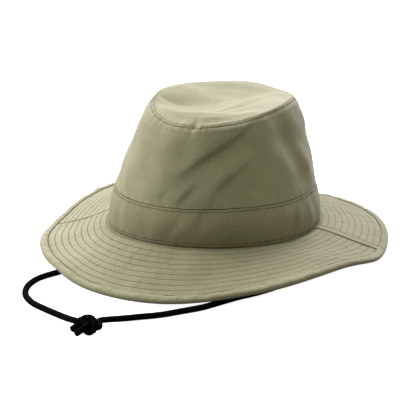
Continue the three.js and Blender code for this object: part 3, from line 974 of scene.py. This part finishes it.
# %% The two seams of the brim
Seam = namedtuple("Seam", "reach angle")
FELLED_SEAM = [
    Seam(-0.003, 5),
    Seam(0.008, 2.4),
    Seam(0.02, 0.6),
    Seam(0.032, 0.4),
    Seam(0.045, 2.3),
    Seam(0.0613, 5.4),
]
FELLED_STRIP_WIDTH = 0.0095
PLAIN_SEAM = [
    Seam(-0.003, 181),
    Seam(0.012, 184.3),
    Seam(0.03, 186.2),
    Seam(0.046, 185.6),
    Seam(0.0613, 184),
]
SEAM_SMOOTHING = np.linspace(-0.009, 0.009, 9)
SEAM_OVERLAP = 0.00005
SEAM_UNDERLAP = 0.0003
SEAM_ROLL = 0.0009
PLAIN_ROLL = 0.0013
FELLED_RISE = 0.0008
STRIP_STITCH = 0.0012
STRIP_STEP = 0.0006
STRIP_OVERSHOOT = 0.0003


def seam_angle(seam, reach):
    """The angle of a seam at a reach, along a smooth line through its places."""
    reaches, angles = [row.reach for row in seam], [row.angle for row in seam]
    near = [np.interp(reach + shift, reaches, angles) for shift in SEAM_SMOOTHING]
    return sum(near) / len(near)


def degrees_across(length, reach):
    """The turn round the head that a length along the brim's rows makes."""
    return np.degrees(length / (BASE_OVAL.half_width + np.clip(reach, 0, None)))


def strip_angle(reach):
    """The angle of the felled strip's turned edge, just short of a full turn."""
    return seam_angle(FELLED_SEAM, reach) + 360 - degrees_across(FELLED_STRIP_WIDTH, reach)


def beside(seam_turn, angle, reach):
    """How far a place lies from a line at that angle, counted in metres along the brim's rows."""
    return turn_between(angle, seam_turn) / degrees_across(1, reach)


def from_seam(seam, angle, reach):
    return beside(seam_angle(seam, reach), angle, reach)


def on_strip(angle, reach):
    """1 on the raised strip of the felled seam, 0 away from it, and steep at its edge."""
    lower = beside(strip_angle(reach), angle, reach)
    before_seam = from_seam(FELLED_SEAM, angle, reach) < STRIP_OVERSHOOT
    return np.clip(0.5 + lower / STRIP_STEP, 0, 1) * before_seam


def seam_relief(angle, reach, strip):
    """The seams' rolled edges and the rise of the strip."""
    plain = np.abs(from_seam(PLAIN_SEAM, angle, reach))
    upper = np.abs(from_seam(FELLED_SEAM, angle, reach))
    lower = beside(strip_angle(reach), angle, reach)
    pressed = STITCH_SINK * (stitch_groove(upper - STRIP_STITCH) + stitch_groove(lower - STRIP_STITCH))
    rise = (FELLED_RISE - pressed) * strip
    return rise - rolled_edge(plain, PLAIN_ROLL) - rolled_edge(upper, SEAM_ROLL) * (strip > 0)


def brim_relief(angle, reach, strip):
    """How far the cloth stands out of the brim's smooth form: ribs, rows, ripples and seams."""
    distance = to_nearest_row(reach)
    depth = row_depth(angle)
    rib = depth * RIB_RISE * np.sin(np.clip(distance / ROW_SPACING, 0, 0.5) * np.pi) ** 0.7
    groove = depth * STITCH_SINK * stitch_groove(distance)
    ripple = BRIM_RIPPLE * uneven_round(41, 0.009, angle, BRIM_PER_DEGREE, reach)
    swell = BRIM_SWELL * uneven_round(42, 0.04, angle, BRIM_PER_DEGREE, reach)
    inside = np.clip(reach / FREE_OF_CROWN, 0, 1)
    ditch = DITCH_DEPTH * bell(reach, DITCH_WIDTH)
    quilted = (rib + ripple) * inside - groove
    return quilted * (1 - strip) + swell * inside + seam_relief(angle, reach, strip) - ditch


# %% Lay the brim's halves
BRIM_COLUMNS = 400
UNDER_BINDING = BRIM_WIDTH - BINDING_CLOTH - GAP
FLANGE = -BAND_CLOTH - GAP - CROWN_CLOTH
EDGE_SHARES = np.array([0, 0.0008, 0.0016, 0.003, 0.006])
PLAIN_MARK_WIDTH = 0.0013
FELLED_MARK_WIDTH = 0.0008
STRIP_MARK_WIDTH = 0.0007
PAINTED_FOOT_SHADE_WIDTH = 0.0016
STRIP_START = 0.94
STRIP_SHARES = stations([-0.1, -0.05, -0.025, -0.015, -0.008, 0, 0.012, 0.03], np.linspace(0.06, 0.95, 26))
ROW_OFFSETS = np.array([-0.0018, -0.001, -0.0006, -0.0003, 0, 0.0003, 0.0006, 0.001, 0.0018])
BRIM_REACHES = stations(
    [FLANGE, 0, 0.0005],
    (STITCH_ROWS[:, None] + ROW_OFFSETS).ravel(),
    [LAST_ROW + 0.003, UNDER_BINDING],
)[::-1]


def brim_half(name, first_seam, first_turn, last_seam, last_turn):
    """One half of the brim, from one seam round to the other; the front half ends in the felled strip."""
    has_strip = last_seam is FELLED_SEAM

    def angle_at(share, reach):
        under = SEAM_UNDERLAP if first_seam is FELLED_SEAM else SEAM_OVERLAP
        start = seam_angle(first_seam, reach) + first_turn - degrees_across(under, reach)
        stop = seam_angle(last_seam, reach) + last_turn + degrees_across(SEAM_OVERLAP, reach)
        if not has_strip:
            return lerp(start, stop, share)
        edge = strip_angle(reach)
        before = lerp(start, edge, share / STRIP_START)
        after = lerp(edge, stop, (share - STRIP_START) / (1 - STRIP_START))
        return np.where(share < STRIP_START, before, after)

    def place(share, reach):
        angle = angle_at(share, reach)
        strip = on_strip(angle, reach) * has_strip
        return brim_point(angle, reach, BRIM_CLOTH / 2 + brim_relief(angle, reach, strip))

    def flat(share, reach):
        return place(share, reach)[..., :2]

    strip = STRIP_START + (1 - STRIP_START) * STRIP_SHARES
    along = stations(EDGE_SHARES, np.linspace(0.012, 0.93, BRIM_COLUMNS), 1 - EDGE_SHARES, strip)
    half = laid_grid(name, along, BRIM_REACHES, place, flat)
    columns, rows = np.meshgrid(along, BRIM_REACHES)
    angles = angle_at(columns, rows)
    plain, felled = (np.abs(from_seam(seam, angles, rows)) for seam in (PLAIN_SEAM, FELLED_SEAM))
    strip_edge = np.abs(beside(strip_angle(rows), angles, rows)) * has_strip
    # The crease mark paints shade: dark lines in the seams and at the strip's edge, dashed lines in the
    # stitch grooves, and a dark line at the brim's foot under the band.
    seams = 1.3 * bell(plain, PLAIN_MARK_WIDTH) + 1.3 * bell(felled, FELLED_MARK_WIDTH)
    seams = seams + 0.8 * has_strip * bell(strip_edge, STRIP_MARK_WIDTH)
    dotted = np.random.default_rng(43).uniform(0.5, 1.9, angles.shape)
    quilted = dotted * row_depth(angles) * stitch_groove(to_nearest_row(rows))
    quilted = quilted * (1 - on_strip(angles, rows) * has_strip)
    add_mark(half, "crease", np.maximum(quilted, seams) + 1.2 * bell(rows, PAINTED_FOOT_SHADE_WIDTH))
    apply_modifier(half, "SOLIDIFY", thickness=BRIM_CLOTH, offset=-1)
    bpy.ops.object.shade_smooth_by_angle(angle=SMOOTH_ANGLE)
    report(half)
    return half


brim_front = brim_half("brim_front_cloth", PLAIN_SEAM, 0, FELLED_SEAM, 360)
brim_back = brim_half("brim_back_cloth", FELLED_SEAM, 0, PLAIN_SEAM, 0)
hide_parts("brim_front")
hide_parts("brim_back")

# %% [markdown]
# ## The binding
#
# The binding is a soft strip folded over the brim's edge. Its section starts under the brim, goes round
# the rim and comes back on top, where its turned edge is stitched down. Between that row of stitches and
# the rim it is slightly puffed. Where the rim lies on the table, it is pressed flat.

# %% Lay the binding
LEG = BRIM_CLOTH / 2 + GAP + BINDING_CLOTH
Corner = namedtuple("Corner", "reach above")
BINDING_SECTION = [
    Corner(LAST_ROW, -LEG),
    Corner(BRIM_WIDTH - 0.0022, -LEG),
    Corner(BRIM_WIDTH - 0.0011, -LEG + 0.0004),
    Corner(BRIM_WIDTH - 0.0003, -0.0013),
    Corner(BRIM_WIDTH, 0),
    Corner(BRIM_WIDTH - 0.0003, 0.0013),
    Corner(BRIM_WIDTH - 0.0011, LEG - 0.0003),
    Corner(BRIM_WIDTH - 0.0022, LEG + 0.0001),
    Corner(BRIM_WIDTH - 0.0035, LEG + 0.0002),
    Corner(BRIM_WIDTH - 0.005, LEG + 0.0001),
    Corner(LAST_ROW + 0.0014, LEG - 0.0002),
    Corner(LAST_ROW + 0.0007, LEG - 0.0006),
    Corner(LAST_ROW + 0.0002, LEG - 0.0011),
    Corner(LAST_ROW - 0.0002, LEG - 0.0015),
]
BINDING_ROUND = np.linspace(0, 360, 721)
BINDING_PER_DEGREE = 0.0026
BINDING_ROW_STEP = 0.0012
BINDING_PUFF = 0.0002
BINDING_PULL = 0.00012


def lay_binding(angle, row):
    corners = np.arange(len(BINDING_SECTION))
    reach = np.interp(row, corners, [corner.reach for corner in BINDING_SECTION])
    above = np.interp(row, corners, [corner.above for corner in BINDING_SECTION])
    on_top = np.clip(row - 4, 0, 3) / 3
    on_top = on_top * np.clip((len(BINDING_SECTION) - 1 - row) / 2, 0, 1)
    soft = BINDING_PUFF * uneven_round(51, 0.014, angle, BINDING_PER_DEGREE, reach)
    fine = BINDING_PULL * uneven_round(52, 0.005, angle, BINDING_PER_DEGREE, reach)
    puff = on_top * (soft + fine)
    point = brim_point(angle, reach, above + puff)
    point[..., 2] = np.maximum(point[..., 2], 0)
    return point


binding_rows = np.arange(len(BINDING_SECTION))
binding = laid_grid(
    "brim_binding_cloth",
    BINDING_ROUND,
    binding_rows,
    lay_binding,
    lambda angle, row: np.stack([angle * BINDING_PER_DEGREE, row * BINDING_ROW_STEP], axis=-1),
)
columns, rows = np.meshgrid(BINDING_ROUND, binding_rows)
# Painted shade along the binding's turned edge, where it tucks down onto the brim.
add_mark(binding, "crease", bell(rows - binding_rows[-1], 1.2))
join_edges(binding)
apply_modifier(binding, "SOLIDIFY", thickness=BINDING_CLOTH * 0.8, offset=-1)
bpy.ops.object.shade_smooth_by_angle(angle=SMOOTH_ANGLE)
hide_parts("brim_binding")
report(binding)

# %% [markdown]
# ## Stitches
#
# Each row of stitches is a chain of short threads that dip into the cloth at both ends. One stitch is
# modelled as a small bent rod, and it is then copied along each row, turned with the cloth.

# %% Sew a row of stitches
STITCH_PITCH = 0.0026
STITCH_LENGTH = 0.0023
THREAD_RADIUS = 0.0002
THREAD_SIDES = 5
STITCH_RINGS = 4
LOOK_AHEAD = 0.0005


def stitch_model():
    """Points of one stitch as (forward, side, up), ring by ring, and its faces."""
    share = np.linspace(-1, 1, STITCH_RINGS)
    around = np.arange(THREAD_SIDES) * 2 * np.pi / THREAD_SIDES
    rise = THREAD_RADIUS * (0.9 - 1.5 * share**2)
    points = [
        (part * STITCH_LENGTH / 2, THREAD_RADIUS * math.cos(turn), lift + THREAD_RADIUS * math.sin(turn))
        for part, lift in zip(share, rise)
        for turn in around
    ]
    last = (STITCH_RINGS - 1) * THREAD_SIDES
    faces = [
        [ring + side, ring + THREAD_SIDES + side, ring + THREAD_SIDES + beside, ring + beside]
        for ring in range(0, last, THREAD_SIDES)
        for side, beside in ((side, (side + 1) % THREAD_SIDES) for side in range(THREAD_SIDES))
    ]
    faces.append(list(range(THREAD_SIDES)))
    faces.append([last + side for side in reversed(range(THREAD_SIDES))])
    return np.array(points), faces


def stitches_along(place, start, stop, steps=1600):
    """The middle and the directions of each stitch on a line; place gives its points and those beside it."""
    share = np.linspace(start, stop, steps)
    line, beside = place(share, 0), place(share, 1)
    way = np.concatenate([[0], np.cumsum(np.linalg.norm(np.diff(line, axis=0), axis=1))])
    count = int(way[-1] // STITCH_PITCH)
    middles = (np.arange(count) + 0.5) * way[-1] / count
    at = np.stack([np.interp(middles, way, line[:, axis]) for axis in range(3)], axis=1)
    side_at = np.stack([np.interp(middles, way, beside[:, axis]) for axis in range(3)], axis=1)
    ahead = np.stack([np.interp(middles + LOOK_AHEAD, way, line[:, axis]) for axis in range(3)], axis=1) - at
    ahead /= np.linalg.norm(ahead, axis=1, keepdims=True)
    side = side_at - at
    side -= ahead * np.sum(side * ahead, axis=1, keepdims=True)
    side /= np.linalg.norm(side, axis=1, keepdims=True)
    return at, ahead, side, np.cross(ahead, side)


def sew(name, rows):
    """All rows of stitches of one piece as one mesh."""
    model, model_faces = stitch_model()
    points, faces = [], []
    for at, ahead, side, up in rows:
        for middle, x, y, z in zip(at, ahead, side, up):
            offset = len(points) * len(model)
            points.append(middle + model[:, :1] * x + model[:, 1:2] * y + model[:, 2:] * z)
            faces.extend([[corner + offset for corner in face] for face in model_faces])
    mesh = bpy.data.meshes.new(name)
    mesh.from_pydata(np.concatenate(points).tolist(), [], faces)
    piece = bpy.data.objects.new(name, mesh)
    bpy.context.collection.objects.link(piece)
    turn_faces_out(piece)
    bpy.ops.object.shade_smooth()
    report(piece)
    return piece


# %% Sew the brim, the band and the tip
BESIDE = 0.0004
CLEAR_OF_SEAM = 0.4
STRIP_ROW_START = 0.002
STRIP_ROW_STOP = LAST_ROW - 0.0005
BINDING_STITCH_REACH = LAST_ROW + 0.0002
BINDING_STITCH_RISE = LEG - 0.0009 - BRIM_CLOTH / 2


def brim_row(reach, start, stop, above=0.0):
    def place(angle, side):
        out = np.full_like(angle, reach + side * BESIDE)
        relief = brim_relief(angle, np.full_like(angle, reach), np.zeros_like(angle))
        return brim_point(angle, out, BRIM_CLOTH / 2 + above + relief)
    return stitches_along(place, start, stop)


def seam_row(angle_at, shift):
    """A row of stitches on the felled strip beside a line, from the crown to the binding."""
    def place(reach, side):
        middle = angle_at(reach) + degrees_across(shift, reach)
        relief = brim_relief(middle, reach, np.ones_like(reach))
        return brim_point(middle + degrees_across(side * BESIDE, reach), reach, BRIM_CLOTH / 2 + relief)
    return stitches_along(place, STRIP_ROW_START, STRIP_ROW_STOP)


def band_row(share):
    def place(angle, side):
        spot = np.full_like(angle, share)
        return band_point(angle, spot - side * BESIDE / BAND_HEIGHT, -band_relief(angle, spot))
    return stitches_along(place, 0, 360)


def tip_row():
    def place(angle, side):
        spot = np.full_like(angle, 1 - WELT_WIDTH / WALL_SLANT)
        return wall_point(angle, spot - side * BESIDE / WALL_SLANT, -wall_relief(angle, spot))
    return stitches_along(place, 0, 360)


brim_rows = []
for reach in STITCH_ROWS[:-1]:
    plain, felled = seam_angle(PLAIN_SEAM, reach), seam_angle(FELLED_SEAM, reach)
    brim_rows.append(brim_row(reach, plain + CLEAR_OF_SEAM, strip_angle(reach) - CLEAR_OF_SEAM))
    brim_rows.append(brim_row(reach, felled + CLEAR_OF_SEAM, plain - CLEAR_OF_SEAM))
brim_rows.append(seam_row(lambda reach: seam_angle(FELLED_SEAM, reach), -STRIP_STITCH))
brim_rows.append(seam_row(strip_angle, STRIP_STITCH))
brim_rows.append(brim_row(BINDING_STITCH_REACH, 0, 360, above=BINDING_STITCH_RISE))
brim_stitches = sew("brim_stitches", brim_rows)
crown_stitches = sew(
    "crown_stitches",
    [band_row(BAND_STITCH_INSET / BAND_HEIGHT), band_row(1 - BAND_STITCH_INSET / BAND_HEIGHT), tip_row()],
)

# %% [markdown]
# ## The cord's tabs
#
# Inside the crown a small folded tab on each side holds the end of the cord. Nobody sees more of it than
# its lower end, so it stays the plain folded strip that it is: a bevelled block in the place of its solid.

# %% Make the tabs
TAB_THICKNESS = 0.0024
TAB_PLAY = 0.0004
TAB_BEVEL = 0.0007


def make_tab(name, node):
    low, high = (np.array(corner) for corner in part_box(node))
    bpy.ops.object.select_all(action="DESELECT")
    bpy.ops.mesh.primitive_cube_add(size=1, location=(0, 0, 0))
    tab = bpy.context.object
    tab.name = tab.data.name = name
    lean = (high[0] - low[0]) / 2 - TAB_THICKNESS / 2
    side = 1 if low[0] > 0 else -1
    bpy.ops.object.mode_set(mode="EDIT")
    bpy.ops.mesh.select_all(action="SELECT")
    bpy.ops.transform.resize(value=(TAB_THICKNESS, high[1] - low[1], high[2] - low[2] - TAB_PLAY))
    angle = side * math.atan2(2 * lean, high[2] - low[2])
    bpy.ops.transform.rotate(value=angle, orient_axis="Y", center_override=(0, 0, 0))
    bpy.ops.transform.translate(value=tuple((low + high) / 2))
    bpy.ops.object.mode_set(mode="OBJECT")
    apply_modifier(tab, "BEVEL", width=TAB_BEVEL, segments=3, limit_method="ANGLE")
    bpy.ops.object.shade_smooth_by_angle(angle=math.radians(40))
    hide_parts(node)
    report(tab)
    return tab


tab_left = make_tab("tab_left", "cord_tab_left")
tab_right = make_tab("tab_right", "cord_tab_right")

# %% [markdown]
# ## Shared effects
#
# Two effects are node groups of their own: a plain weave, read from the flat map of the sheet, and a soft
# mottle of the colour, read from the place on the object, which cloth and thread share.

# %% Helpers for node groups
def new_group(name, inputs, outputs):
    group = bpy.data.node_groups.new(name, "ShaderNodeTree")
    for socket, kind, value in inputs:
        made = group.interface.new_socket(name=socket, in_out="INPUT", socket_type=kind)
        if value is not None:
            made.default_value = value
    for socket, kind in outputs:
        group.interface.new_socket(name=socket, in_out="OUTPUT", socket_type=kind)
    return group, group.nodes.new("NodeGroupInput"), group.nodes.new("NodeGroupOutput")


def add_math(tree, operation, first, second=None, third=None):
    """A Math node whose inputs are numbers or outputs of other nodes."""
    node = tree.nodes.new("ShaderNodeMath")
    node.operation = operation
    for slot, value in enumerate((first, second, third)):
        if isinstance(value, bpy.types.NodeSocket):
            tree.links.new(value, node.inputs[slot])
        elif value is not None:
            node.inputs[slot].default_value = value
    return node.outputs[0]


def add_noise(tree, vector, scale, detail=3.0, roughness=0.5):
    node = tree.nodes.new("ShaderNodeTexNoise")
    node.inputs["Scale"].default_value = scale
    node.inputs["Detail"].default_value = detail
    node.inputs["Roughness"].default_value = roughness
    tree.links.new(vector, node.inputs["Vector"])
    return node.outputs["Fac"]


# %% The weave and the mottle
BROAD_MOTTLE_SCALE = 28.0
FINE_MOTTLE_SCALE = 520.0


def make_weave_group():
    """Threads that pass over and under each other; Pitch is the distance of two threads in metres."""
    group, given, result = new_group(
        "plain_weave",
        [("Flat map", "NodeSocketVector", None), ("Pitch", "NodeSocketFloat", 0.0004)],
        [("Height", "NodeSocketFloat")],
    )
    split = group.nodes.new("ShaderNodeSeparateXYZ")
    group.links.new(given.outputs["Flat map"], split.inputs[0])
    waves = []
    for axis in ("X", "Y"):
        count = add_math(group, "DIVIDE", split.outputs[axis], given.outputs["Pitch"])
        waves.append(add_math(group, "SINE", add_math(group, "MULTIPLY", count, math.pi)))
    crossing = add_math(group, "MULTIPLY", waves[0], waves[1])
    height = add_math(group, "MULTIPLY_ADD", crossing, 0.5, 0.5)
    group.links.new(height, result.inputs["Height"])
    return group


def make_mottle_group():
    """Broad and fine patches of slightly lighter and darker cloth, about 1 on average."""
    group, given, result = new_group(
        "soft_mottle",
        [("Place", "NodeSocketVector", None), ("Strength", "NodeSocketFloat", 0.1)],
        [("Factor", "NodeSocketFloat")],
    )
    broad = add_noise(group, given.outputs["Place"], BROAD_MOTTLE_SCALE, 2.0)
    fine = add_noise(group, given.outputs["Place"], FINE_MOTTLE_SCALE, 3.0, 0.6)
    broad_share = add_math(group, "MULTIPLY", broad, 1.1)
    fine_share = add_math(group, "MULTIPLY", fine, 1.9)
    mixed = add_math(group, "ADD", broad_share, fine_share)
    centred = add_math(group, "SUBTRACT", mixed, 1.5)
    factor = add_math(group, "MULTIPLY_ADD", centred, given.outputs["Strength"], 1.0)
    group.links.new(factor, result.inputs["Factor"])
    return group


weave_group = make_weave_group()
mottle_group = make_mottle_group()

# %% [markdown]
# ## The finishes
#
# The cloth is a brushed microfibre: matt, with a short pale nap that catches light at grazing angles, which
# is what Sheen is for. The weave hardly shows, so it is a faint bump. Where the crease mark is set the colour
# is painted deeper as shade, since little light gets into seams and grooves. The thread is much darker than
# the cloth, partly its own colour and partly painted shade of the grooves it lies in, and the cord is black
# and nearly without shine, a little paler where its strands are worn.

# %% Make the finishes
CLOTH_COLOUR = (0.328, 0.315, 0.19, 1)
# Painted shade: the colour that the crease mark mixes into the cloth.
PAINTED_SHADE_COLOUR = (0.11, 0.092, 0.036, 1)
# Partly painted shade: the thread is darker than its own colour, to stand for the grooves it lies in.
THREAD_COLOUR = (0.11, 0.096, 0.045, 1)
CORD_COLOUR = (0.0012, 0.0012, 0.0014, 1)
WORN_COLOUR = (0.006, 0.006, 0.006, 1)
WEAVE_PITCH = 0.00042
FIBRE_SCALE = 1500.0
YARN_SCALE = 2600.0


def new_finish(name, colour, roughness):
    finish = bpy.data.materials.new(name)
    finish.use_nodes = True
    shader = finish.node_tree.nodes["Principled BSDF"]
    shader.inputs["Base Color"].default_value = colour
    shader.inputs["Roughness"].default_value = roughness
    return finish, finish.node_tree, shader


def use_group(tree, group, **values):
    node = tree.nodes.new("ShaderNodeGroup")
    node.node_tree = group
    for socket, value in values.items():
        name = socket.replace("_", " ")
        if isinstance(value, bpy.types.NodeSocket):
            tree.links.new(value, node.inputs[name])
        else:
            node.inputs[name].default_value = value
    return node


def mix_colour(tree, factor, first, second, blend="MIX"):
    node = tree.nodes.new("ShaderNodeMix")
    node.data_type = "RGBA"
    node.blend_type = blend
    for slot, value in ((0, factor), (6, first), (7, second)):
        if isinstance(value, bpy.types.NodeSocket):
            tree.links.new(value, node.inputs[slot])
        else:
            node.inputs[slot].default_value = value
    return node.outputs[2]


def add_bump(tree, shader, height, distance, strength=1.0):
    bump = tree.nodes.new("ShaderNodeBump")
    bump.inputs["Distance"].default_value = distance
    bump.inputs["Strength"].default_value = strength
    tree.links.new(height, bump.inputs["Height"])
    tree.links.new(bump.outputs["Normal"], shader.inputs["Normal"])


def make_cloth_finish():
    finish, tree, shader = new_finish("khaki_microfibre", CLOTH_COLOUR, 0.9)
    shader.inputs["Specular IOR Level"].default_value = 0.25
    shader.inputs["Sheen Weight"].default_value = 0.5
    shader.inputs["Sheen Roughness"].default_value = 0.45
    shader.inputs["Sheen Tint"].default_value = (1, 0.97, 0.86, 1)
    places = tree.nodes.new("ShaderNodeTexCoord")
    crease = tree.nodes.new("ShaderNodeAttribute")
    crease.attribute_name = "crease"
    mottle = use_group(tree, mottle_group, Place=places.outputs["Object"], Strength=0.26)
    # Painted shade: the crease mark darkens the cloth towards the shade colour.
    painted_shade = add_math(tree, "MULTIPLY", crease.outputs["Fac"], 0.8)
    base = mix_colour(tree, painted_shade, CLOTH_COLOUR, PAINTED_SHADE_COLOUR)
    tinted = tree.nodes.new("ShaderNodeVectorMath")
    tinted.operation = "SCALE"
    tree.links.new(base, tinted.inputs[0])
    tree.links.new(mottle.outputs["Factor"], tinted.inputs["Scale"])
    tree.links.new(tinted.outputs[0], shader.inputs["Base Color"])
    weave = use_group(tree, weave_group, Flat_map=places.outputs["UV"], Pitch=WEAVE_PITCH)
    fibres = add_noise(tree, places.outputs["Object"], FIBRE_SCALE, 2.0, 0.6)
    height = add_math(tree, "ADD", weave.outputs["Height"], add_math(tree, "MULTIPLY", fibres, 0.8))
    add_bump(tree, shader, height, 0.00006, 0.6)
    return finish


def make_thread_finish():
    finish, tree, shader = new_finish("khaki_thread", THREAD_COLOUR, 0.7)
    shader.inputs["Specular IOR Level"].default_value = 0.3
    places = tree.nodes.new("ShaderNodeTexCoord")
    mottle = use_group(tree, mottle_group, Place=places.outputs["Object"], Strength=0.5)
    tinted = tree.nodes.new("ShaderNodeVectorMath")
    tinted.operation = "SCALE"
    tinted.inputs[0].default_value = THREAD_COLOUR[:3]
    tree.links.new(mottle.outputs["Factor"], tinted.inputs["Scale"])
    tree.links.new(tinted.outputs[0], shader.inputs["Base Color"])
    return finish


def make_cord_finish():
    finish, tree, shader = new_finish("black_braid", CORD_COLOUR, 0.85)
    shader.inputs["Specular IOR Level"].default_value = 0.05
    strand = tree.nodes.new("ShaderNodeAttribute")
    strand.attribute_name = "strand"
    places = tree.nodes.new("ShaderNodeTexCoord")
    yarn = add_noise(tree, places.outputs["UV"], YARN_SCALE, 2.0, 0.7)
    worn = add_math(tree, "MULTIPLY", add_math(tree, "POWER", yarn, 4.0), strand.outputs["Fac"])
    colour = mix_colour(tree, worn, CORD_COLOUR, WORN_COLOUR)
    tree.links.new(colour, shader.inputs["Base Color"])
    add_bump(tree, shader, yarn, 0.00015, 0.7)
    return finish


cloth_finish = make_cloth_finish()
thread_finish = make_thread_finish()
cord_finish = make_cord_finish()

# %% Dress every piece
CROWN_PIECES = (wall, tip, band, crown_stitches)
BRIM_PIECES = (brim_front, brim_back, binding, brim_stitches)
CORD_PIECES = (cord_left, cord_right, knot, tab_left, tab_right)
for slot, pieces in (("hat_cloth", CROWN_PIECES), ("brim_cloth", BRIM_PIECES), ("cord_black", CORD_PIECES)):
    for piece in pieces:
        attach(piece, "root")
        piece.data.materials.clear()
        if piece in CORD_PIECES:
            piece.data.materials.append(cord_finish)
        elif piece in (crown_stitches, brim_stitches):
            piece.data.materials.append(thread_finish)
        else:
            piece.data.materials.append(cloth_finish)

# %% [markdown]
# ## Floor and light
#
# The photo has large soft light, mostly from behind and above and from the left, and little from the front
# and right, so the tip and the brim are bright and the front of the crown is in soft shade. Its ground is
# pure white, without a shadow. So the floor glows white where the camera looks at it, and is dark to all
# other rays, which keeps it from throwing light up on the hat.

# %% Lay the floor
FLOOR_SIZE = 12
FLOOR_WHITE = (0.9, 0.9, 0.9, 1)
FLOOR_DARK = (0.05, 0.05, 0.05, 1)
FLOOR_GLOW = 0.96
bpy.ops.object.select_all(action="DESELECT")
bpy.ops.mesh.primitive_plane_add(size=FLOOR_SIZE, location=(0, 0, 0))
floor = bpy.context.object
floor.name = floor.data.name = "floor"
floor_finish, floor_tree, floor_shader = new_finish("pale_floor", FLOOR_WHITE, 0.9)
floor_shader.inputs["Specular IOR Level"].default_value = 0.0
seen = floor_tree.nodes.new("ShaderNodeLightPath")
floor_colour = mix_colour(floor_tree, seen.outputs["Is Camera Ray"], FLOOR_DARK, FLOOR_WHITE)
floor_tree.links.new(floor_colour, floor_shader.inputs["Base Color"])
floor_shader.inputs["Emission Color"].default_value = (1, 1, 1, 1)
floor_glow = add_math(floor_tree, "MULTIPLY", seen.outputs["Is Camera Ray"], FLOOR_GLOW)
floor_tree.links.new(floor_glow, floor_shader.inputs["Emission Strength"])
floor.data.materials.append(floor_finish)

# %% Hang the lights
LIGHT_DISTANCE = 1.6
LIGHT_SIZE = 0.7
Light = namedtuple("Light", "name azimuth elevation power blue")
LIGHTS = [
    Light("back", 180, 55, 18.5, 1.12),
    Light("above", 240, 60, 5, 1.06),
    Light("left_high", 210, 45, 6, 1.08),
    Light("left", 270, 45, 6, 1),
    Light("left_low", 270, 12, 12, 0.98),
    Light("left_front", 300, 12, 9, 0.96),
    Light("low_back", 180, 15, 6, 1.12),
    Light("right", 60, 25, 4.5, 0.8),
    Light("right_back", 120, 35, 4, 0.88),
    Light("front", 0, 45, 4.5, 0.9),
]
HAT_MIDDLE = Vector((0, 0, 0.07))
WORLD_LIGHT = 0.02


def hang_light(light):
    """An area light that looks at the hat; azimuth 0 is in front of it and 90 at the picture's right."""
    around, up = math.radians(light.azimuth), math.radians(light.elevation)
    away = Vector((math.sin(around) * math.cos(up), -math.cos(around) * math.cos(up), math.sin(up)))
    bpy.ops.object.light_add(
        type="AREA",
        location=HAT_MIDDLE + away * LIGHT_DISTANCE,
        rotation=(-away).to_track_quat("-Z", "Y").to_euler(),
    )
    lamp = bpy.context.object
    lamp.name = "light_" + light.name
    lamp.data.size = LIGHT_SIZE
    lamp.data.energy = light.power
    lamp.data.color = (1, 1, light.blue)


for light in LIGHTS:
    hang_light(light)

world = bpy.data.worlds.new("studio")
world.use_nodes = True
world.node_tree.nodes["Background"].inputs["Color"].default_value = (1, 1, 1, 1)
world.node_tree.nodes["Background"].inputs["Strength"].default_value = WORLD_LIGHT
bpy.context.scene.world = world
bpy.context.scene.view_settings.view_transform = "Standard"
